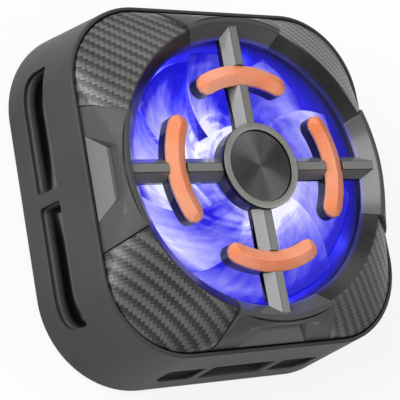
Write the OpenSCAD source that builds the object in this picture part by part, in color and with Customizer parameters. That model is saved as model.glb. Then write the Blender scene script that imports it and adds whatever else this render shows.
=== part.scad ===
// Magnetic phone cooling fan: a square case with a thermoelectric cooler in its back
// and a lit axial fan behind a four-spoke guard in its front.
// Millimetres. The origin is the middle of the cold contact face, and +Z is the fan axis.

/* [Case] */
// Width of the case at its back edge
case_back_w = 67.8; // [64:0.1:74]
// Width of the case at its front edge
case_front_w = 63.2; // [61:0.1:70]
// Height of the case wall
case_h = 19.85; // [18.5:0.05:26]
// Distance of each corner's centre from the axis, along X and along Y
corner_centre = 16.3; // [14:0.1:18]
// Thickness of the case wall
case_wall = 2.2; // [1.6:0.1:2.6]
// Chamfer round the case's back edge
back_chamfer = 0.6; // [0.2:0.1:1]
// Bevel round the case's front edge
front_bevel = 0.3; // [0.1:0.05:0.5]
// Thickness of the lip round the front cover
lip_t = 0.65; // [0.5:0.05:1]
// Depth of the front cover's seat below the case's front edge
seat_depth = 2.4; // [1.6:0.1:3]
// Radius of the four screw pillars
pillar_r = 1.9; // [1.7:0.1:2.2]

/* [Vents and port] */
// Distance of the vents from the case's back edge
vent_low = 5.2; // [4.8:0.1:6]
// Height of the vents
vent_h = 6.1; // [5:0.1:7]
// Length of each side vent
vent_len = 22; // [14:0.5:23]
// Width of the rib between two side vents
vent_rib = 2.4; // [1.6:0.1:4]
// Corner radius at the inner end of a vent
vent_r_in = 1; // [0.4:0.1:1.5]
// Corner radius at the outer end of a vent
vent_r_out = 2.6; // [1:0.1:3]
// Width of the plug recess
recess_w = 13.3; // [12.6:0.1:14]
// Depth of the plug recess below the outer wall
recess_depth = 2.65; // [2.4:0.05:3.2]
// Thickness of the recess's walls and floor
recess_wall = 1.2; // [0.8:0.1:1.4]
// Distance of the two short vents beside the recess from the middle
port_vent_start = 8.5; // [8.4:0.1:9.5]
// Length of the two short vents
port_vent_len = 7.9; // [5:0.1:9]

/* [Front cover] */
// Height of the ring's edge above the case's front edge
ring_rise = 6.15; // [5.5:0.05:7]
// Distance of the ring's edge from the middle of a side of the cover's outline
ring_inset = 3.75; // [2.8:0.05:4.6]
// Flat width of the ring's edge on the corner panels
ring_flat = 0.3; // [0.1:0.05:0.6]
// Flat width of the rim on the raised side panels
rim_flat = 0.8; // [0.3:0.1:1.2]
// How far the side panels stand above the corner panels at the ring
panel_rise = 0.75; // [0.3:0.05:1.2]
// Half width of a side panel at the ring
panel_half_in = 9.75; // [8:0.05:11]
// Half width of a side panel at the outline
panel_half_out = 12.7; // [11:0.1:14]
// Thickness of the corner panels
panel_t = 0.8; // [0.5:0.1:1]
// Width of the funnel, from the ring's edge to the duct
funnel_w = 2.5; // [1.8:0.1:3]
// Depth of the funnel below the ring's edge
funnel_depth = 2.2; // [1.6:0.1:2.6]
// Slope of a side panel's pocket floor, in degrees
pocket_angle = 49; // [46:1:52]
// Length of a pocket floor up its slope
pocket_len = 3.5; // [2.5:0.1:4]
// Half width of a pocket at the outline
pocket_half_out = 7.45; // [6:0.05:9]
// Half width of a pocket at its inner edge
pocket_half_in = 4.3; // [3:0.1:6]
// Width of a snap hook
hook_w = 6; // [4:0.5:8]
// Thickness of a snap hook
hook_t = 1.1; // [0.8:0.1:1.4]
// Length of a snap hook below the cover's seat
hook_len = 3.4; // [2.6:0.1:4]
// Length of a snap hook's root above the cover's seat
hook_root = 2; // [1.6:0.1:2.4]
// Depth of a snap hook's catch
hook_catch = 0.6; // [0.4:0.1:0.9]

/* [Fan guard] */
// Width of a spoke's front face
spoke_face = 1.6; // [1:0.1:2.4]
// Width of a spoke below its sloped sides
spoke_w = 4.2; // [3:0.1:5]
// Height of a spoke's sloped sides
spoke_slope_h = 2; // [1:0.1:2.6]
// Height of a spoke
spoke_h = 3.1; // [2.7:0.1:3.3]
// Width of the ring that is clamped under the front cover
guard_ring_w = 2.6; // [1.6:0.1:3]
// Thickness of the guard's ring
guard_ring_t = 1.2; // [0.8:0.1:1.5]
// Radius of the hub's trim ring
hub_r = 7.87; // [6.5:0.01:9]
// Width of the hub's trim ring
hub_ring_w = 1.3; // [0.8:0.05:2]
// Height of the hub's trim ring
hub_ring_h = 0.95; // [0.6:0.05:1.4]
// How far the disc lies below the trim ring's face
disc_drop = 0.2; // [0.05:0.05:0.4]
// How far the hub's trim ring stands above the spokes' front face
hub_proud = 0.72; // [0.3:0.02:0.9]
// How far the guard's hub is set back under the trim ring
hub_setback = 0.25; // [0.1:0.05:0.5]
// Inner radius of the accent arcs
accent_r_in = 15.2; // [14:0.1:16]
// Outer radius of the accent arcs
accent_r_out = 18.95; // [18:0.05:20]
// Half of the angle between the middles of an arc's round ends, in degrees
accent_half_angle = 27; // [20:0.5:32]
// Height of an accent arc's straight edge
accent_edge_h = 0.6; // [0.3:0.05:1]
// Height of an accent arc's hipped top
accent_hip_h = 0.75; // [0.4:0.05:1]
// How far an accent arc's seat lies below the spokes' front face
accent_sink = 0.95; // [0.6:0.05:1.2]

/* [Cold side] */
// How far the contact face stands proud of the case's back
contact_proud = 0.8; // [0.5:0.1:1.2]
// Thickness of the back cover
back_cover_t = 1.6; // [1.2:0.1:2]
// Distance of the cold plate's edge from the corners of the thermoelectric module
cold_margin = 0.3; // [0.2:0.1:1]
// Width of the cold plate's flange
cold_flange_w = 1.9; // [1:0.1:2]
// Thickness of the cold plate's flange
cold_flange_t = 0.6; // [0.4:0.1:0.9]
// Width of the silicone contact ring
contact_ring_w = 6.5; // [4:0.1:7.5]
// Width of the thermoelectric module
peltier_w = 30; // [26:0.5:31]
// Thickness of each ceramic face of the module
ceramic_t = 0.8; // [0.6:0.05:1]
// Height of the module's pellets
pellet_h = 1.2; // [1:0.05:1.5]
// Width of a pellet
pellet_w = 2; // [1.4:0.1:2.6]
// Pellets along each side of the module
pellet_count = 6; // [4:1:7]
// Width of the magnet ring
magnet_w = 3.6; // [2.5:0.1:4]
// Thickness of the magnets
magnet_t = 1.8; // [1.4:0.1:2]
// Magnets in the ring
magnet_count = 16; // [12:1:20]
// Gap between neighbouring magnets
magnet_gap = 0.4; // [0.2:0.1:0.8]
// Thickness of the steel ring over the magnets
shield_t = 0.4; // [0.3:0.05:0.6]

/* [Heat sink] */
// Thickness of the heat sink's base
sink_base_t = 1.2; // [1:0.1:1.6]
// Height of the fins
fin_h = 5.4; // [4.4:0.1:5.6]
// Thickness of a fin
fin_t = 0.45; // [0.3:0.05:0.7]
// Distance between neighbouring fins
fin_pitch = 1.4; // [1.2:0.1:2]

/* [Control board] */
// Width of the control board
board_w = 31; // [30:0.5:32]
// Depth of the control board
board_d = 8.3; // [7.8:0.1:9]
// Thickness of the boards
board_t = 1; // [0.8:0.1:1.2]
// Distance of each board screw from the middle
board_screw_x = 13; // [12:0.1:13.3]
// Width of the socket's shell
usb_w = 8.94; // [8.9:0.01:9.1]
// Height of the socket's shell
usb_h = 3.2; // [3.1:0.02:3.3]
// Length of the socket's shell
usb_len = 7.35; // [6.5:0.05:7.5]
// Thickness of the socket's shell
usb_wall = 0.3; // [0.2:0.05:0.4]
// Width of the socket's tongue
tongue_w = 6.7; // [6.2:0.1:7]
// Length of the tongue's root, which closes the socket's rear
tongue_root = 1.85; // [1.2:0.05:2.4]
// Thickness of the socket's tongue
tongue_t = 0.7; // [0.6:0.05:0.8]
// Width of the control chip
chip_w = 4; // [3:0.1:4.2]
// Height of the control chip
chip_h = 1; // [0.7:0.1:1.4]
// Width of the power inductor
inductor_w = 4; // [3:0.1:4.2]
// Height of the power inductor
inductor_h = 2; // [1.5:0.1:3]
// Width of a capacitor
capacitor_w = 1.6; // [1:0.1:2]
// Height of a capacitor
capacitor_h = 0.8; // [0.5:0.1:1.2]

/* [Fan] */
// Thickness of the fan frame's struts and ears
frame_t = 1.2; // [1:0.1:1.6]
// Wall of the fan frame's duct
duct_wall = 1.2; // [0.9:0.1:1.5]
// Width of a strut
strut_w = 3.2; // [2.8:0.1:4]
// Radius of the motor plate
motor_plate_r = 9; // [8.8:0.1:10]
// Width of the ledge that carries the lamp board
ledge_w = 3.8; // [3.2:0.1:4.2]
// Thickness of the motor board and lamp board
ring_board_t = 0.8; // [0.6:0.1:1]
// Lamps on the lamp board
lamp_count = 8; // [4:1:12]
// Width of a lamp
lamp_w = 1.6; // [1.2:0.1:2]
// Height of a lamp
lamp_h = 0.7; // [0.5:0.1:0.9]
// Radius of the impeller's hub
hub_cup_r = 9; // [8.6:0.1:10]
// Wall of the impeller's hub
hub_cup_t = 0.75; // [0.6:0.05:0.9]
// Thickness of the impeller hub's top
hub_top_t = 1.5; // [1.2:0.1:2]
// Blades of the impeller
blade_count = 9; // [5:1:11]
// Thickness of a blade, measured round the axis
blade_t = 2; // [1:0.1:3]
// Turn of a blade from its bottom to its top, in degrees
blade_twist = 54; // [20:1:60]
// Backward sweep of a blade from hub to tip, in degrees
blade_sweep = 26; // [0:1:40]
// Wall of the steel yoke
yoke_t = 0.6; // [0.5:0.05:0.8]
// Wall of the rotor magnet
rotor_magnet_t = 1.2; // [0.9:0.1:1.4]
// Depth of the shaft's hole in the impeller hub's top
shaft_grip = 1; // [0.6:0.1:1.1]
// Radius of the shaft
shaft_r = 0.75; // [0.6:0.05:1]
// Radius of the bearing
bearing_r = 1.6; // [1.5:0.05:1.8]
// Wall of the bearing tube
bearing_tube_t = 0.75; // [0.6:0.05:0.9]
// Height of the stator's laminations
stator_h = 3.2; // [2.4:0.1:3.6]
// Poles of the stator
pole_count = 4; // [4:1:6]
// Share of the turn that the pole shoes fill
shoe_share = 0.7; // [0.5:0.05:0.85]
// Width of a stator arm
arm_w = 1.5; // [1.2:0.1:1.8]
// Thickness of a winding
winding_t = 0.5; // [0.3:0.05:0.6]

/* [Screws and leads] */
// Wall of a screw boss
boss_wall = 1; // [0.8:0.1:1.2]
// Radius of a screw's shank
screw_r = 0.8; // [0.6:0.05:0.9]
// Radius of a screw's head
screw_head_r = 1.55; // [1.3:0.05:1.6]
// Height of a screw's head
screw_head_h = 0.8; // [0.6:0.05:0.9]
// Length of a screw's shank
screw_len = 4; // [3.4:0.1:4.4]
// Distance between two leads of a pair that leave the cooler
lead_spread = 5.4; // [2:0.1:8]
// Radius of a lead
lead_r = 0.45; // [0.3:0.05:0.5]

/* [Clearances] */
// Gap between parts that are fitted or glued together
fit_gap = 0.05; // [0.02:0.01:0.1]
// Gap between parts that drop into one another
drop_gap = 0.2; // [0.1:0.05:0.25]
// Groove round the front cover
groove = 0.3; // [0.2:0.05:0.5]
// Radial clearance of the shaft in its bearing
running_gap = 0.02; // [0.01:0.01:0.05]
// Gap between the heat sink and the case
sink_gap = 1.6; // [1.2:0.1:2.2]
// Gap between the impeller and what surrounds it
fan_gap = 0.8; // [0.6:0.05:1]
// Gap between the rotor magnet and the stator
air_gap = 0.4; // [0.3:0.05:0.5]

/* [Hidden] */
$fn = 96;

// Heights of the case and the front
z_back = contact_proud;
z_front = z_back + case_h;
z_seat = z_front - seat_depth;
z_ring = z_front + ring_rise;
z_rim = z_ring + panel_rise;
z_lip = z_ring - funnel_depth;
z_vent = z_back + vent_low;
z_vent_top = z_vent + vent_h;

// Heights of the cold side and the heat sink, from the back cover forwards
z_cover = z_back + back_cover_t;
z_flange = z_cover + cold_flange_t;
z_pellet = z_flange + ceramic_t;
z_hot = z_pellet + pellet_h;
z_sink = z_hot + ceramic_t;
z_fin = z_sink + sink_base_t;
z_fin_top = z_fin + fin_h;
z_spot_face = z_fin - 2 * fit_gap;

// Heights of the fan and its guard
z_frame = z_fin_top + fit_gap + drop_gap;
z_ring_board = z_frame + frame_t;
z_guard = z_lip - guard_ring_t;
z_spoke = z_ring;
z_spoke_low = z_spoke - spoke_h;
z_accent = z_spoke - accent_sink;
z_hub = z_spoke + hub_proud - hub_ring_h;
z_lamp_top = z_ring_board + ring_board_t + lamp_h;
z_blade = z_lamp_top + fan_gap;
z_hub_top = z_spoke_low - fan_gap;
z_blade_top = z_hub_top - fan_gap / 4;
z_yoke_top = z_hub_top - hub_top_t;
z_rotor_low = z_ring_board + ring_board_t + fan_gap;
z_stator = z_rotor_low + winding_t + fit_gap;
z_tube_floor = z_frame + frame_t / 2;
z_bearing = z_ring_board + ring_board_t / 2;
z_bearing_top = z_yoke_top - yoke_t - air_gap;

// The case wall's reach beyond its corner centres
back_reach = case_back_w / 2 - corner_centre;
front_reach = case_front_w / 2 - corner_centre;
lip_reach = front_reach - lip_t;
cover_reach = lip_reach - groove;
outline_half = corner_centre + cover_reach;
ring_r = outline_half - ring_inset;
funnel_r = ring_r - funnel_w;
function wall_reach(z) = back_reach + (front_reach - back_reach) * (z - z_back) / case_h;
function inner_reach(z) = wall_reach(z) - case_wall;
function inner_half(z) = corner_centre + inner_reach(z);
function inner_diagonal(z) = corner_centre * sqrt(2) + inner_reach(z);

// Radii of the cold side, from the module's corners outwards
cold_r = peltier_w / sqrt(2) + cold_margin;
flange_r = cold_r + cold_flange_w;
magnet_r_in = flange_r + 3 * drop_gap;
magnet_r_out = magnet_r_in + magnet_w;

// Screw pillars, on the diagonals, as far out as a screw head fits under the case wall
pillar_diagonal = inner_diagonal(z_frame + frame_t + screw_head_h) - screw_head_r - drop_gap;
pillar_xy = pillar_diagonal / sqrt(2);
hole_r = screw_r + fit_gap;
hole_len = screw_len + drop_gap;
boss_r = screw_r + boss_wall;

// Heat sink outline: a square whose round corners clear the pillars
sink_half = inner_half(z_vent_top) - sink_gap;
sink_diagonal = pillar_diagonal - pillar_r - drop_gap;
sink_corner_r = (sink_half * sqrt(2) - sink_diagonal) / (sqrt(2) - 1);
sink_corner = sink_half - sink_corner_r;
boss_diagonal = sink_diagonal - screw_head_r - drop_gap;
boss_xy = boss_diagonal / sqrt(2);
function sink_reach(y) = abs(y) <= sink_corner ? sink_half
    : sink_corner + sqrt(max(0, sink_corner_r * sink_corner_r - pow(abs(y) - sink_corner, 2)));

// Plug recess, socket and control board, on the -Y side
z_port = z_vent + vent_h / 2;
recess_floor = corner_centre + wall_reach(z_port) - recess_depth;
recess_back = recess_floor - recess_wall;
z_board = z_port - usb_h / 2 - board_t;
board_front = recess_back - drop_gap;
board_back = board_front - board_d;
board_screw_y = board_front - screw_head_r - drop_gap * 2;
notch_half = board_w / 2 + drop_gap * 3;
notch_y = board_back - drop_gap * 3;
usb_front = recess_floor - fit_gap * 2;

// Fan radii, from the duct inwards
duct_r = funnel_r - fit_gap * 2;
blade_r = duct_r - fan_gap;
lamp_ring_r = duct_r - ledge_w / 2;
ledge_r = duct_r - ledge_w;
yoke_r = hub_cup_r - hub_cup_t - fit_gap;
rotor_magnet_r = yoke_r - yoke_t - fit_gap;
stator_r = rotor_magnet_r - rotor_magnet_t - air_gap;
bearing_tube_r = bearing_r + fit_gap + bearing_tube_t;
stator_bore = bearing_tube_r + fit_gap;
motor_board_r = motor_plate_r - drop_gap;
shaft_hole_r = shaft_r + running_gap;
guard_ring_r = funnel_r + guard_ring_w;
hub_seat_r = hub_r - hub_setback;
accent_mid_r = (accent_r_in + accent_r_out) / 2;
accent_half_w = (accent_r_out - accent_r_in) / 2;

// Depth of a cut that has to pass beyond a face
over = 1;

// Repeats its children at the four corners, turned towards each corner
module at_corners(distance) {
    for (i = [0:3])
        rotate([0, 0, 45 + 90 * i])
            translate([distance, 0, 0])
                children();
}

// Square body with round corners. Each point of the profile gives the body's reach
// beyond its corner centres and the height of that reach.
module rounded_body(profile, centre = corner_centre) {
    low = profile[0][1];
    high = profile[len(profile) - 1][1];
    right = [for (p = profile) [centre + p[0], p[1]]];
    left = [for (i = [len(profile) - 1:-1:0]) [-centre - profile[i][0], profile[i][1]]];
    for (i = [0:3])
        rotate([0, 0, 90 * i])
            translate([centre, centre, 0])
                rotate_extrude(angle = 90)
                    polygon(concat([[0, low]], profile, [[0, high]]));
    for (turn = [0, 90])
        rotate([90, 0, turn])
            linear_extrude(height = 2 * centre, center = true)
                polygon(concat(right, left));
}

// Square slab with round corners, for the lofted surfaces of the front cover
module rounded_slab(reach, z, h) {
    for (i = [0:3])
        rotate([0, 0, 90 * i])
            translate([corner_centre, corner_centre, z])
                cylinder(r = reach, h = h, $fn = 64);
}

// Surface from the square outline up to the ring
module loft(edge_z, low_z, top_r, top_z) {
    hull() {
        rounded_slab(cover_reach, low_z, edge_z - low_z);
        translate([0, 0, top_z - lip_t])
            cylinder(r = top_r, h = lip_t, $fn = 128);
    }
}

// Wedge of the plan that one raised side panel fills
module panel_wedge(gap) {
    ring_x = sqrt(ring_r * ring_r - panel_half_in * panel_half_in);
    spread = (panel_half_out - panel_half_in) / (outline_half - ring_x);
    near = ring_x - 2 * rim_flat - funnel_depth;
    far = outline_half + over;
    near_y = panel_half_in + (near - ring_x) * spread + gap;
    far_y = panel_half_in + (far - ring_x) * spread + gap;
    translate([0, 0, z_seat])
        linear_extrude(height = z_rim + over - z_seat)
            polygon([[near, -near_y], [far, -far_y], [far, far_y], [near, near_y]]);
}

// Funnel and duct through the front cover
module funnel(gap) {
    rise = panel_rise + over;
    rotate_extrude()
        polygon([[0, z_seat - over], [funnel_r - gap, z_seat - over], [funnel_r - gap, z_lip],
            [ring_r - gap, z_ring], [ring_r - gap, z_ring + rise], [0, z_ring + rise]]);
}

// Arc-shaped bar with round ends, square in section
module arc_bar(half_w, z, h) {
    rotate([0, 0, -accent_half_angle])
        rotate_extrude(angle = 2 * accent_half_angle)
            translate([accent_mid_r - half_w, z])
                square([2 * half_w, h]);
    for (side = [-1, 1])
        rotate([0, 0, side * accent_half_angle])
            translate([accent_mid_r, 0, z])
                cylinder(r = half_w, h = h);
}

// Pan-head screw that points along -Z, with its seat at the origin
module screw() {
    cylinder(r = screw_head_r, h = screw_head_h);
    translate([0, 0, -screw_len])
        cylinder(r = screw_r, h = screw_len + fit_gap);
}

// Opening of one vent, in the plan of its wall, with its rear corners rounded
module vent_cut(start, length) {
    depth = case_back_w;
    translate([start, 0, z_vent]) {
        translate([vent_r_in, 0, 0])
            cube([length - vent_r_in - vent_r_out, depth, vent_h]);
        translate([0, 0, vent_r_in])
            cube([length, depth, vent_h - vent_r_in]);
        translate([vent_r_in, 0, vent_r_in])
            rotate([-90, 0, 0])
                cylinder(r = vent_r_in, h = depth);
    }
}

// Rear corner at a vent's outer end that is left standing, with a round inside
module vent_fillet(start, length) {
    depth = case_back_w;
    translate([start + length - vent_r_out, 0, z_vent])
        difference() {
            cube([vent_r_out, depth, vent_r_out]);
            translate([0, -over, vent_r_out])
                rotate([-90, 0, 0])
                    cylinder(r = vent_r_out, h = depth + 2 * over);
        }
}

// A pair of vents, one each side of the middle of the +Y wall
module vent_pair(start, length) {
    for (side = [0, 1])
        mirror([side, 0, 0])
            difference() {
                vent_cut(start, length);
                vent_fillet(start, length);
            }
}

// Snap hook on the +X side, and the pocket that it catches in when gap is added
module hook(gap) {
    reach = inner_half(z_seat) - drop_gap;
    translate([reach - hook_t - gap, -hook_w / 2 - gap, z_seat - hook_len - gap])
        cube([hook_t + gap, hook_w + 2 * gap, hook_len + hook_root + gap]);
    translate([reach - hook_t / 2, -hook_w / 2 - gap, z_seat - hook_len - gap])
        cube([hook_t / 2 + drop_gap + hook_catch + gap, hook_w + 2 * gap, hook_t + 2 * gap]);
}

// Tapered square side wall with its vents, plug recess, screw pillars and cover seat
module case_shell() {
    color("#3c3c3e")
        difference() {
            union() {
                difference() {
                    rounded_body([
                        [back_reach - back_chamfer, z_back],
                        [wall_reach(z_back + back_chamfer), z_back + back_chamfer],
                        [wall_reach(z_front - front_bevel), z_front - front_bevel],
                        [front_reach - front_bevel, z_front]]);
                    rounded_body([
                        [inner_reach(z_back - over), z_back - over],
                        [inner_reach(z_seat), z_seat],
                        [lip_reach, z_seat],
                        [lip_reach, z_front + over]]);
                }
                at_corners(pillar_diagonal)
                    translate([0, 0, z_cover]) {
                        cylinder(r = pillar_r, h = z_frame - z_cover);
                        translate([0, -pillar_r / 2, 0])
                            cube([inner_diagonal(z_frame) + case_wall / 2 - pillar_diagonal,
                                pillar_r, z_frame - z_cover]);
                    }
                translate([-recess_w / 2 - recess_wall, -recess_floor - case_wall / 2, z_vent - recess_wall])
                    cube([recess_w + 2 * recess_wall, recess_floor - recess_back + case_wall / 2,
                        vent_h + 2 * recess_wall]);
            }
            for (turn = [0, 90, 270])
                rotate([0, 0, turn])
                    vent_pair(vent_rib / 2, vent_len);
            rotate([0, 0, 180])
                vent_pair(port_vent_start, port_vent_len);
            translate([-recess_w / 2, -case_back_w, z_vent])
                cube([recess_w, case_back_w - recess_floor, vent_h]);
            usb_outline(drop_gap, recess_back - over, recess_floor + over);
            at_corners(pillar_diagonal) {
                translate([0, 0, z_cover - over])
                    cylinder(r = hole_r, h = hole_len + over - back_cover_t + screw_head_h);
                translate([0, 0, z_frame + frame_t - hole_len])
                    cylinder(r = hole_r, h = hole_len + over);
            }
            for (i = [0:3])
                rotate([0, 0, 90 * i])
                    hook(drop_gap);
        }
}

// Bosses for the heat sink's and the control board's screws, grown by a gap
module bosses(gap, low) {
    at_corners(boss_diagonal)
        translate([0, 0, low])
            cylinder(r = boss_r + gap, h = z_sink - low);
    for (side = [-1, 1])
        translate([side * board_screw_x, -board_screw_y, low])
            cylinder(r = boss_r + gap, h = z_board - low);
}

// Flat cover in the back of the case, which carries the cooler, the magnets and the board
module back_cover() {
    reach = inner_reach(z_cover) - drop_gap;
    z_root = z_back + back_cover_t / 2;
    color("#2e2e30")
        difference() {
            union() {
                rounded_body([[reach, z_back], [reach, z_cover]]);
                bosses(0, z_root);
            }
            translate([0, 0, z_back - over])
                cylinder(r = cold_r + drop_gap, h = back_cover_t + 2 * over);
            at_corners(pillar_diagonal)
                translate([0, 0, z_back - over]) {
                    cylinder(r = hole_r, h = back_cover_t + 2 * over);
                    cylinder(r = screw_head_r + drop_gap, h = over + screw_head_h);
                }
            at_corners(boss_diagonal)
                translate([0, 0, z_spot_face - hole_len])
                    cylinder(r = hole_r, h = hole_len + over);
            for (side = [-1, 1])
                translate([side * board_screw_x, -board_screw_y, z_board + board_t - hole_len])
                    cylinder(r = hole_r, h = hole_len + over);
        }
}

// Soft ring round the cold plate that grips the phone
module contact_ring() {
    color("#1d1d1f")
        difference() {
            cylinder(r = cold_r + drop_gap + contact_ring_w, h = contact_proud);
            translate([0, 0, -over])
                cylinder(r = cold_r + drop_gap, h = contact_proud + 2 * over);
        }
}

// Plate that touches the phone, with a flange that seats on the back cover
module cold_plate() {
    color("#c9cbce") {
        cylinder(r = cold_r, h = z_flange);
        translate([0, 0, z_cover])
            cylinder(r = flange_r, h = cold_flange_t);
    }
}

// Ceramic face of the thermoelectric module
module ceramic_face(z) {
    translate([-peltier_w / 2, -peltier_w / 2, z])
        cube([peltier_w, peltier_w, ceramic_t]);
}

module peltier_cold_face() {
    color("#eceae4")
        ceramic_face(z_flange);
}

module peltier_hot_face() {
    color("#eceae4")
        ceramic_face(z_hot);
}

// Semiconductor pellets between the two ceramic faces
module peltier_pellets() {
    pitch = peltier_w / pellet_count;
    first = -peltier_w / 2 + pitch / 2 - pellet_w / 2;
    color("#8d8f93")
        for (i = [0:pellet_count - 1], j = [0:pellet_count - 1])
            translate([first + i * pitch, first + j * pitch, z_pellet])
                cube([pellet_w, pellet_w, pellet_h]);
}

// Two leads from the module, under the heat sink and up to the control board
module peltier_leads() {
    start = peltier_w / 2;
    bend = board_back + 3 * lead_r;
    z = z_pellet + pellet_h / 2;
    color("#a02020")
        for (side = [-1, 1])
            translate([side * lead_spread / 2, 0, z]) {
                translate([0, -start, 0])
                    rotate([90, 0, 0])
                        cylinder(r = lead_r, h = bend - start, $fn = 32);
                translate([0, -bend, 0])
                    sphere(r = lead_r, $fn = 32);
                translate([0, -bend, 0])
                    cylinder(r = lead_r, h = z_board - z, $fn = 32);
            }
}

// Foam frame round the module, with a way out for its leads
module insulation_gasket() {
    way_half = lead_spread / 2 + 4 * lead_r;
    color("#4a4d52")
        translate([0, 0, z_flange])
            difference() {
                cylinder(r = flange_r - drop_gap, h = z_sink - z_flange);
                translate([-peltier_w / 2 - drop_gap, -peltier_w / 2 - drop_gap, -over])
                    cube([peltier_w + 2 * drop_gap, peltier_w + 2 * drop_gap,
                        z_sink - z_flange + 2 * over]);
                translate([-way_half, -flange_r - over, -over])
                    cube([2 * way_half, flange_r, z_sink - z_flange + 2 * over]);
            }
}

// Ring of separate arc magnets on the back cover, clear of its bosses
module magnets() {
    step = 360 / magnet_count;
    gap_angle = magnet_gap / magnet_r_in * 180 / PI;
    color("#b9bcc0")
        difference() {
            for (i = [0:magnet_count - 1])
                rotate([0, 0, i * step + gap_angle / 2])
                    rotate_extrude(angle = step - gap_angle)
                        translate([magnet_r_in, z_cover])
                            square([magnet_w, magnet_t]);
            bosses(drop_gap, z_back);
        }
}

// Thin steel ring that closes the magnets' field on the inside
module shield_ring() {
    color("#9a9da1")
        difference() {
            translate([0, 0, z_cover + magnet_t])
                difference() {
                    cylinder(r = magnet_r_out, h = shield_t);
                    translate([0, 0, -over])
                        cylinder(r = magnet_r_in, h = shield_t + 2 * over);
                }
            bosses(drop_gap, z_back);
        }
}

// Finned aluminium block over the module's hot face, notched for the control board
module heat_sink() {
    rows = floor(sink_half / fin_pitch);
    head_way = screw_head_r + drop_gap;
    color("#b4b8bc")
        difference() {
            union() {
                rounded_body([[sink_corner_r, z_sink], [sink_corner_r, z_fin]], sink_corner);
                for (i = [-rows:rows])
                    let (y = i * fin_pitch, reach = sink_reach(abs(y) + fin_t / 2) - drop_gap)
                        translate([-reach, y - fin_t / 2, z_fin - fin_t])
                            cube([2 * reach, fin_t, fin_h + fin_t]);
            }
            translate([-notch_half, -sink_half - over, z_sink - over])
                cube([2 * notch_half, sink_half + over - notch_y, z_fin_top - z_sink + 2 * over]);
            at_corners(boss_diagonal) {
                translate([0, 0, z_sink - over])
                    cylinder(r = hole_r, h = sink_base_t + 2 * over);
                translate([0, 0, z_spot_face])
                    cylinder(r = head_way, h = fin_h + over);
                translate([0, -head_way, z_spot_face])
                    cube([sink_half, 2 * head_way, fin_h + over]);
            }
        }
}

module heat_sink_screws() {
    color("#8f9296")
        at_corners(boss_diagonal)
            translate([0, 0, z_spot_face])
                screw();
}

// Screws through the back cover into the pillars
module case_screws() {
    color("#8f9296")
        at_corners(pillar_diagonal)
            translate([0, 0, z_back + screw_head_h])
                mirror([0, 0, 1])
                    screw();
}

module main_board() {
    color("#1f5a3a")
        difference() {
            translate([-board_w / 2, -board_front, z_board])
                cube([board_w, board_d, board_t]);
            for (side = [-1, 1])
                translate([side * board_screw_x, -board_screw_y, z_board - over])
                    cylinder(r = hole_r, h = board_t + 2 * over);
        }
}

// Flat oval of the socket, grown by a gap, between two distances from the axis
module usb_outline(gap, near, far) {
    r = usb_h / 2 + gap;
    side = usb_w / 2 - usb_h / 2;
    translate([0, -near, z_port])
        rotate([90, 0, 0]) {
            for (s = [-1, 1])
                translate([s * side, 0, 0])
                    cylinder(r = r, h = far - near);
            translate([-side, -r, 0])
                cube([2 * side, 2 * r, far - near]);
        }
}

module usb_shell() {
    back = usb_front - usb_len;
    color("#b0b3b8")
        difference() {
            usb_outline(0, back, usb_front);
            usb_outline(-usb_wall, back + usb_wall, usb_front + over);
        }
}

// Insulating tongue inside the socket
module usb_tongue() {
    back = usb_front - usb_len + usb_wall;
    color("#161617") {
        usb_outline(-usb_wall - fit_gap, back, back + tongue_root);
        translate([-tongue_w / 2, -usb_front + usb_wall, z_port - tongue_t / 2])
            cube([tongue_w, usb_len - tongue_root, tongue_t]);
    }
}

// Part on the control board, centred at x, in front of the supply leads
module board_part(x, w, h) {
    translate([x - w / 2, -supply_y() - lead_r - drop_gap - w, z_board + board_t])
        cube([w, w, h]);
}

module control_chip() {
    color("#18191b")
        board_part(-usb_w / 2 - chip_w / 2 - 2 * drop_gap, chip_w, chip_h);
}

module power_inductor() {
    color("#5b5d60")
        board_part(usb_w / 2 + inductor_w / 2 + 2 * drop_gap, inductor_w, inductor_h);
}

// Two small capacitors by the board's outer ends
module capacitors() {
    color("#b58a55")
        for (side = [-1, 1])
            board_part(side * (board_w / 2 - capacitor_w), capacitor_w, capacitor_h);
}

module board_screws() {
    color("#8f9296")
        for (side = [-1, 1])
            translate([side * board_screw_x, -board_screw_y, z_board + board_t])
                screw();
}

// Duct, struts, motor plate and bearing tube of the fan, with ears on the pillars
module fan_frame() {
    outer_r = duct_r + duct_wall;
    ear_reach = inner_reach(z_ring_board) - drop_gap;
    color("#303033")
        difference() {
            union() {
                translate([0, 0, z_frame])
                    cylinder(r = outer_r, h = z_guard - z_frame);
                intersection() {
                    at_corners(0)
                        translate([0, -pillar_r - drop_gap, z_frame])
                            cube([case_back_w, 2 * (pillar_r + drop_gap), frame_t]);
                    rounded_body([[ear_reach, z_frame - over], [ear_reach, z_ring_board + over]]);
                }
            }
            difference() {
                translate([0, 0, z_frame - over])
                    cylinder(r = duct_r, h = z_guard - z_frame + 2 * over);
                difference() {
                    cylinder(r = duct_r + over, h = z_ring_board);
                    cylinder(r = ledge_r, h = z_ring_board + over);
                }
                cylinder(r = motor_plate_r, h = z_ring_board);
                for (i = [0:3])
                    rotate([0, 0, 90 * i])
                        translate([0, -strut_w / 2, 0])
                            cube([duct_r, strut_w, z_ring_board]);
                cylinder(r = bearing_tube_r, h = z_bearing_top);
            }
            translate([0, 0, z_tube_floor])
                cylinder(r = bearing_r + fit_gap, h = z_bearing_top);
            at_corners(pillar_diagonal)
                translate([0, 0, z_frame - over])
                    cylinder(r = hole_r, h = frame_t + 2 * over);
            supply_holes();
        }
}

module fan_screws() {
    color("#8f9296")
        at_corners(pillar_diagonal)
            translate([0, 0, z_ring_board])
                screw();
}

// Ways for the supply leads through the ledge
module supply_holes() {
    for (side = [-1, 1])
        translate([side * supply_x(), -supply_y(), z_frame - over])
            cylinder(r = lead_r + drop_gap, h = frame_t + 2 * over);
}

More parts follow.
